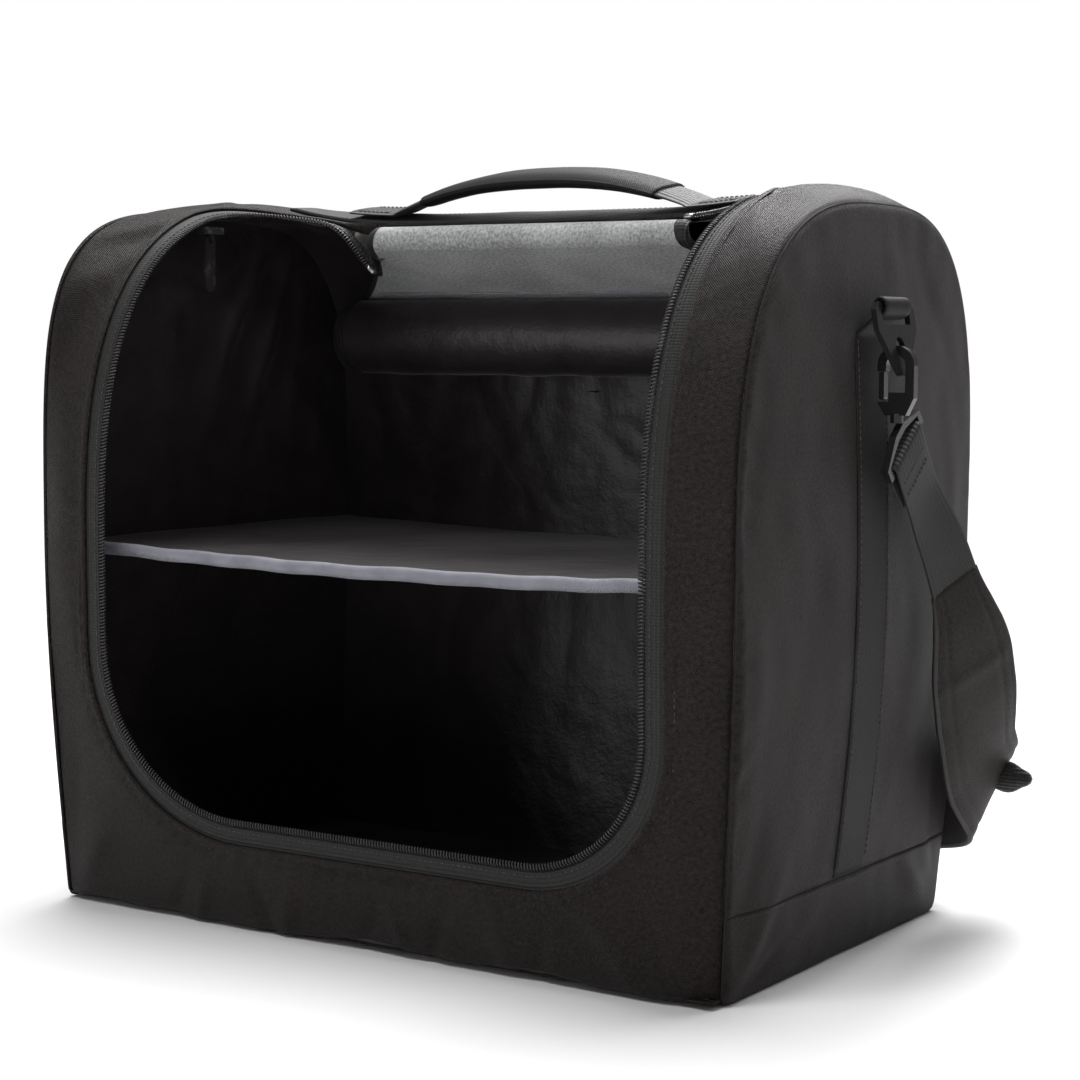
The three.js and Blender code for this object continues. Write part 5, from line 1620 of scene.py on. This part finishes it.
def bevel(node, look, width):
    """Rounds the edges of a moulding and gives it its finish."""
    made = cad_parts[node]
    rounding = made.modifiers.new("rounding", "BEVEL")
    rounding.width = width
    rounding.segments = 3
    rounding.limit_method = "ANGLE"
    rounding.angle_limit = math.radians(28)
    rounding.harden_normals = False
    for item in made.material_slots:
        item.link = "OBJECT"
        item.material = look


def make_hardware():
    """Rings, snap hooks, gates and eyes in acetal, and the zip's enamelled sliders and pulls."""
    for word in ("right", "left"):
        for node, look, width in (
                ("strap_ring", moulded_acetal, 0.9), ("snap_hook", moulded_acetal, 1.3),
                ("hook_gate", moulded_acetal, 0.7), ("hook_eye", moulded_acetal, 1.2),
                ("zipper_slider", enamelled_zinc, 0.5), ("zipper_pull", enamelled_zinc, 0.4)):
            bevel(f"{node}_{word}", material(look), width * MM)


# Stage

CAMERA_PLACE = Vector((792.6, -1154.2, 334.2)) * MM
CAMERA_AIM = Vector((31.0, 0.0, 216.9)) * MM
CAMERA_LENS = 80.3
CAMERA_ROLL = math.radians(0.26)
FLOOR_REACH = 60.0
FLOOR_GAP = 0.6 * MM
# Place, aim, diameter in metres and power in watts
LAMPS = {
    "key": ((-0.1, -0.9, 2.0), (0, 0, 0.3), 0.6, 15),
    "fill": ((-0.9, -1.7, 0.5), (0, 0, 0.15), 0.5, 3),
    "rim": ((0.0, 0.8, 1.15), (0, 0.05, 0.4), 0.6, 12),
    "glint": ((1.5, -0.9, 1.5), (0.25, 0, 0.28), 0.22, 3.0),
}


def area_light(name, place, aim, size, power):
    """A round lamp that faces its aim."""
    light = bpy.data.lights.new(name, "AREA")
    light.shape = "DISK"
    light.size = size
    light.energy = power
    made = bpy.data.objects.new(name, light)
    made.location = place
    made.rotation_euler = (Vector(aim) - Vector(place)).to_track_quat("-Z", "Y").to_euler()
    bpy.context.scene.collection.objects.link(made)


def studio_world():
    """White behind the floor for the camera, and a dimmer even light for the case itself."""
    world = bpy.data.worlds.new("studio")
    world.use_nodes = True
    tree = world.node_tree
    rays = add_node(tree, "ShaderNodeLightPath")
    strength = add_node(tree, "ShaderNodeMapRange", inputs={
        "Value": rays.outputs["Is Camera Ray"], "To Min": 0.2, "To Max": 1.0})
    back = tree.nodes["Background"]
    back.inputs["Color"].default_value = (1, 1, 1, 1)
    tree.links.new(strength.outputs["Result"], back.inputs["Strength"])
    return world


def make_stage():
    """Floor, lights and camera."""
    scene = bpy.context.scene
    corners = [(x * FLOOR_REACH, y * FLOOR_REACH, 0) for x, y in ((-1, -1), (1, -1), (1, 1), (-1, 1))]
    floor = mesh_object("floor", corners, [(0, 1, 2, 3)], studio_paper)
    floor.location.z = -FLOOR_GAP
    scene.world = studio_world()
    overhead = bpy.data.lights.new("overhead", "SUN")
    overhead.energy = 4.4
    overhead.angle = math.radians(50)
    lamp = bpy.data.objects.new("overhead", overhead)
    lamp.rotation_euler = (-Vector((-0.15, 0.45, 1.0))).to_track_quat("-Z", "Y").to_euler()
    scene.collection.objects.link(lamp)
    for name, settings in LAMPS.items():
        area_light(name, *settings)
    lens = bpy.data.cameras.new("camera")
    lens.lens = CAMERA_LENS
    lens.sensor_width = 36
    camera = bpy.data.objects.new("camera", lens)
    look = (CAMERA_AIM - CAMERA_PLACE).to_track_quat("-Z", "Y").to_matrix()
    camera.matrix_world = Matrix.Translation(CAMERA_PLACE) @ (
        look @ Matrix.Rotation(CAMERA_ROLL, 3, "Z")).to_4x4()
    scene.collection.objects.link(camera)
    scene.camera = camera
    scene.view_settings.view_transform = "Standard"


# Operators


class CASE_OT_shell(bpy.types.Operator):
    """Makes the outer cloth: main band, rear panel, base bands and sides"""
    bl_idname = "case.shell"
    bl_label = "Shell"

    def execute(self, context):
        make_shell()
        return {"FINISHED"}


class CASE_OT_lining(bpy.types.Operator):
    """Makes the satin lining of the walls"""
    bl_idname = "case.lining"
    bl_label = "Lining"

    def execute(self, context):
        make_lining()
        return {"FINISHED"}


class CASE_OT_zip(bpy.types.Operator):
    """Makes the zip's tape and its coil"""
    bl_idname = "case.zip"
    bl_label = "Zip"

    def execute(self, context):
        make_zip()
        return {"FINISHED"}


class CASE_OT_flap(bpy.types.Operator):
    """Makes the front flap, folded back and rolled up"""
    bl_idname = "case.flap"
    bl_label = "Flap"

    def execute(self, context):
        make_flap()
        return {"FINISHED"}


class CASE_OT_shelf(bpy.types.Operator):
    """Makes the cloth shelf and its piped edge"""
    bl_idname = "case.shelf"
    bl_label = "Shelf"

    def execute(self, context):
        make_shelf()
        return {"FINISHED"}


class CASE_OT_top(bpy.types.Operator):
    """Makes the reinforcing band and the carry handle"""
    bl_idname = "case.top"
    bl_label = "Top"

    def execute(self, context):
        make_top()
        return {"FINISHED"}


class CASE_OT_side_webbing(bpy.types.Operator):
    """Makes the webbing sewn up each side"""
    bl_idname = "case.side_webbing"
    bl_label = "Side webbing"

    def execute(self, context):
        make_side_webbing()
        return {"FINISHED"}


class CASE_OT_straps(bpy.types.Operator):
    """Makes the shoulder strap and its pad"""
    bl_idname = "case.straps"
    bl_label = "Shoulder strap"

    def execute(self, context):
        make_straps()
        return {"FINISHED"}


class CASE_OT_hardware(bpy.types.Operator):
    """Rounds and finishes the rings, hooks, eyes and sliders"""
    bl_idname = "case.hardware"
    bl_label = "Hardware"

    def execute(self, context):
        make_hardware()
        return {"FINISHED"}


class CASE_OT_stage(bpy.types.Operator):
    """Lays the floor and sets the lights and the camera"""
    bl_idname = "case.stage"
    bl_label = "Stage"

    def execute(self, context):
        make_stage()
        return {"FINISHED"}


class CASE_PT_pieces(bpy.types.Panel):
    """Lists the case's pieces, each with the operator that makes it"""
    bl_idname = "CASE_PT_pieces"
    bl_label = "Carrier case"
    bl_space_type = "VIEW_3D"
    bl_region_type = "UI"
    bl_category = "Case"

    def draw(self, context):
        for maker in OPERATORS:
            self.layout.operator(maker.bl_idname)
        for settings in (colours(), sizes()):
            for name in settings.bl_rna.properties.keys():
                if name not in ("rna_type", "name"):
                    self.layout.prop(settings, name)


OPERATORS = (
    CASE_OT_shell,
    CASE_OT_lining,
    CASE_OT_zip,
    CASE_OT_flap,
    CASE_OT_shelf,
    CASE_OT_top,
    CASE_OT_side_webbing,
    CASE_OT_straps,
    CASE_OT_hardware,
    CASE_OT_stage,
)
CLASSES = (CaseColours, CaseSizes, *OPERATORS, CASE_PT_pieces)


def register():
    for item in CLASSES:
        bpy.utils.register_class(item)
    bpy.types.Scene.case_colours = bpy.props.PointerProperty(type=CaseColours)
    bpy.types.Scene.case_sizes = bpy.props.PointerProperty(type=CaseSizes)


def unregister():
    del bpy.types.Scene.case_sizes
    del bpy.types.Scene.case_colours
    for item in reversed(CLASSES):
        bpy.utils.unregister_class(item)


def main():
    register()
    for maker in OPERATORS:
        group, name = maker.bl_idname.split(".")
        getattr(getattr(bpy.ops, group), name)()


if __name__ == "__main__":
    main()
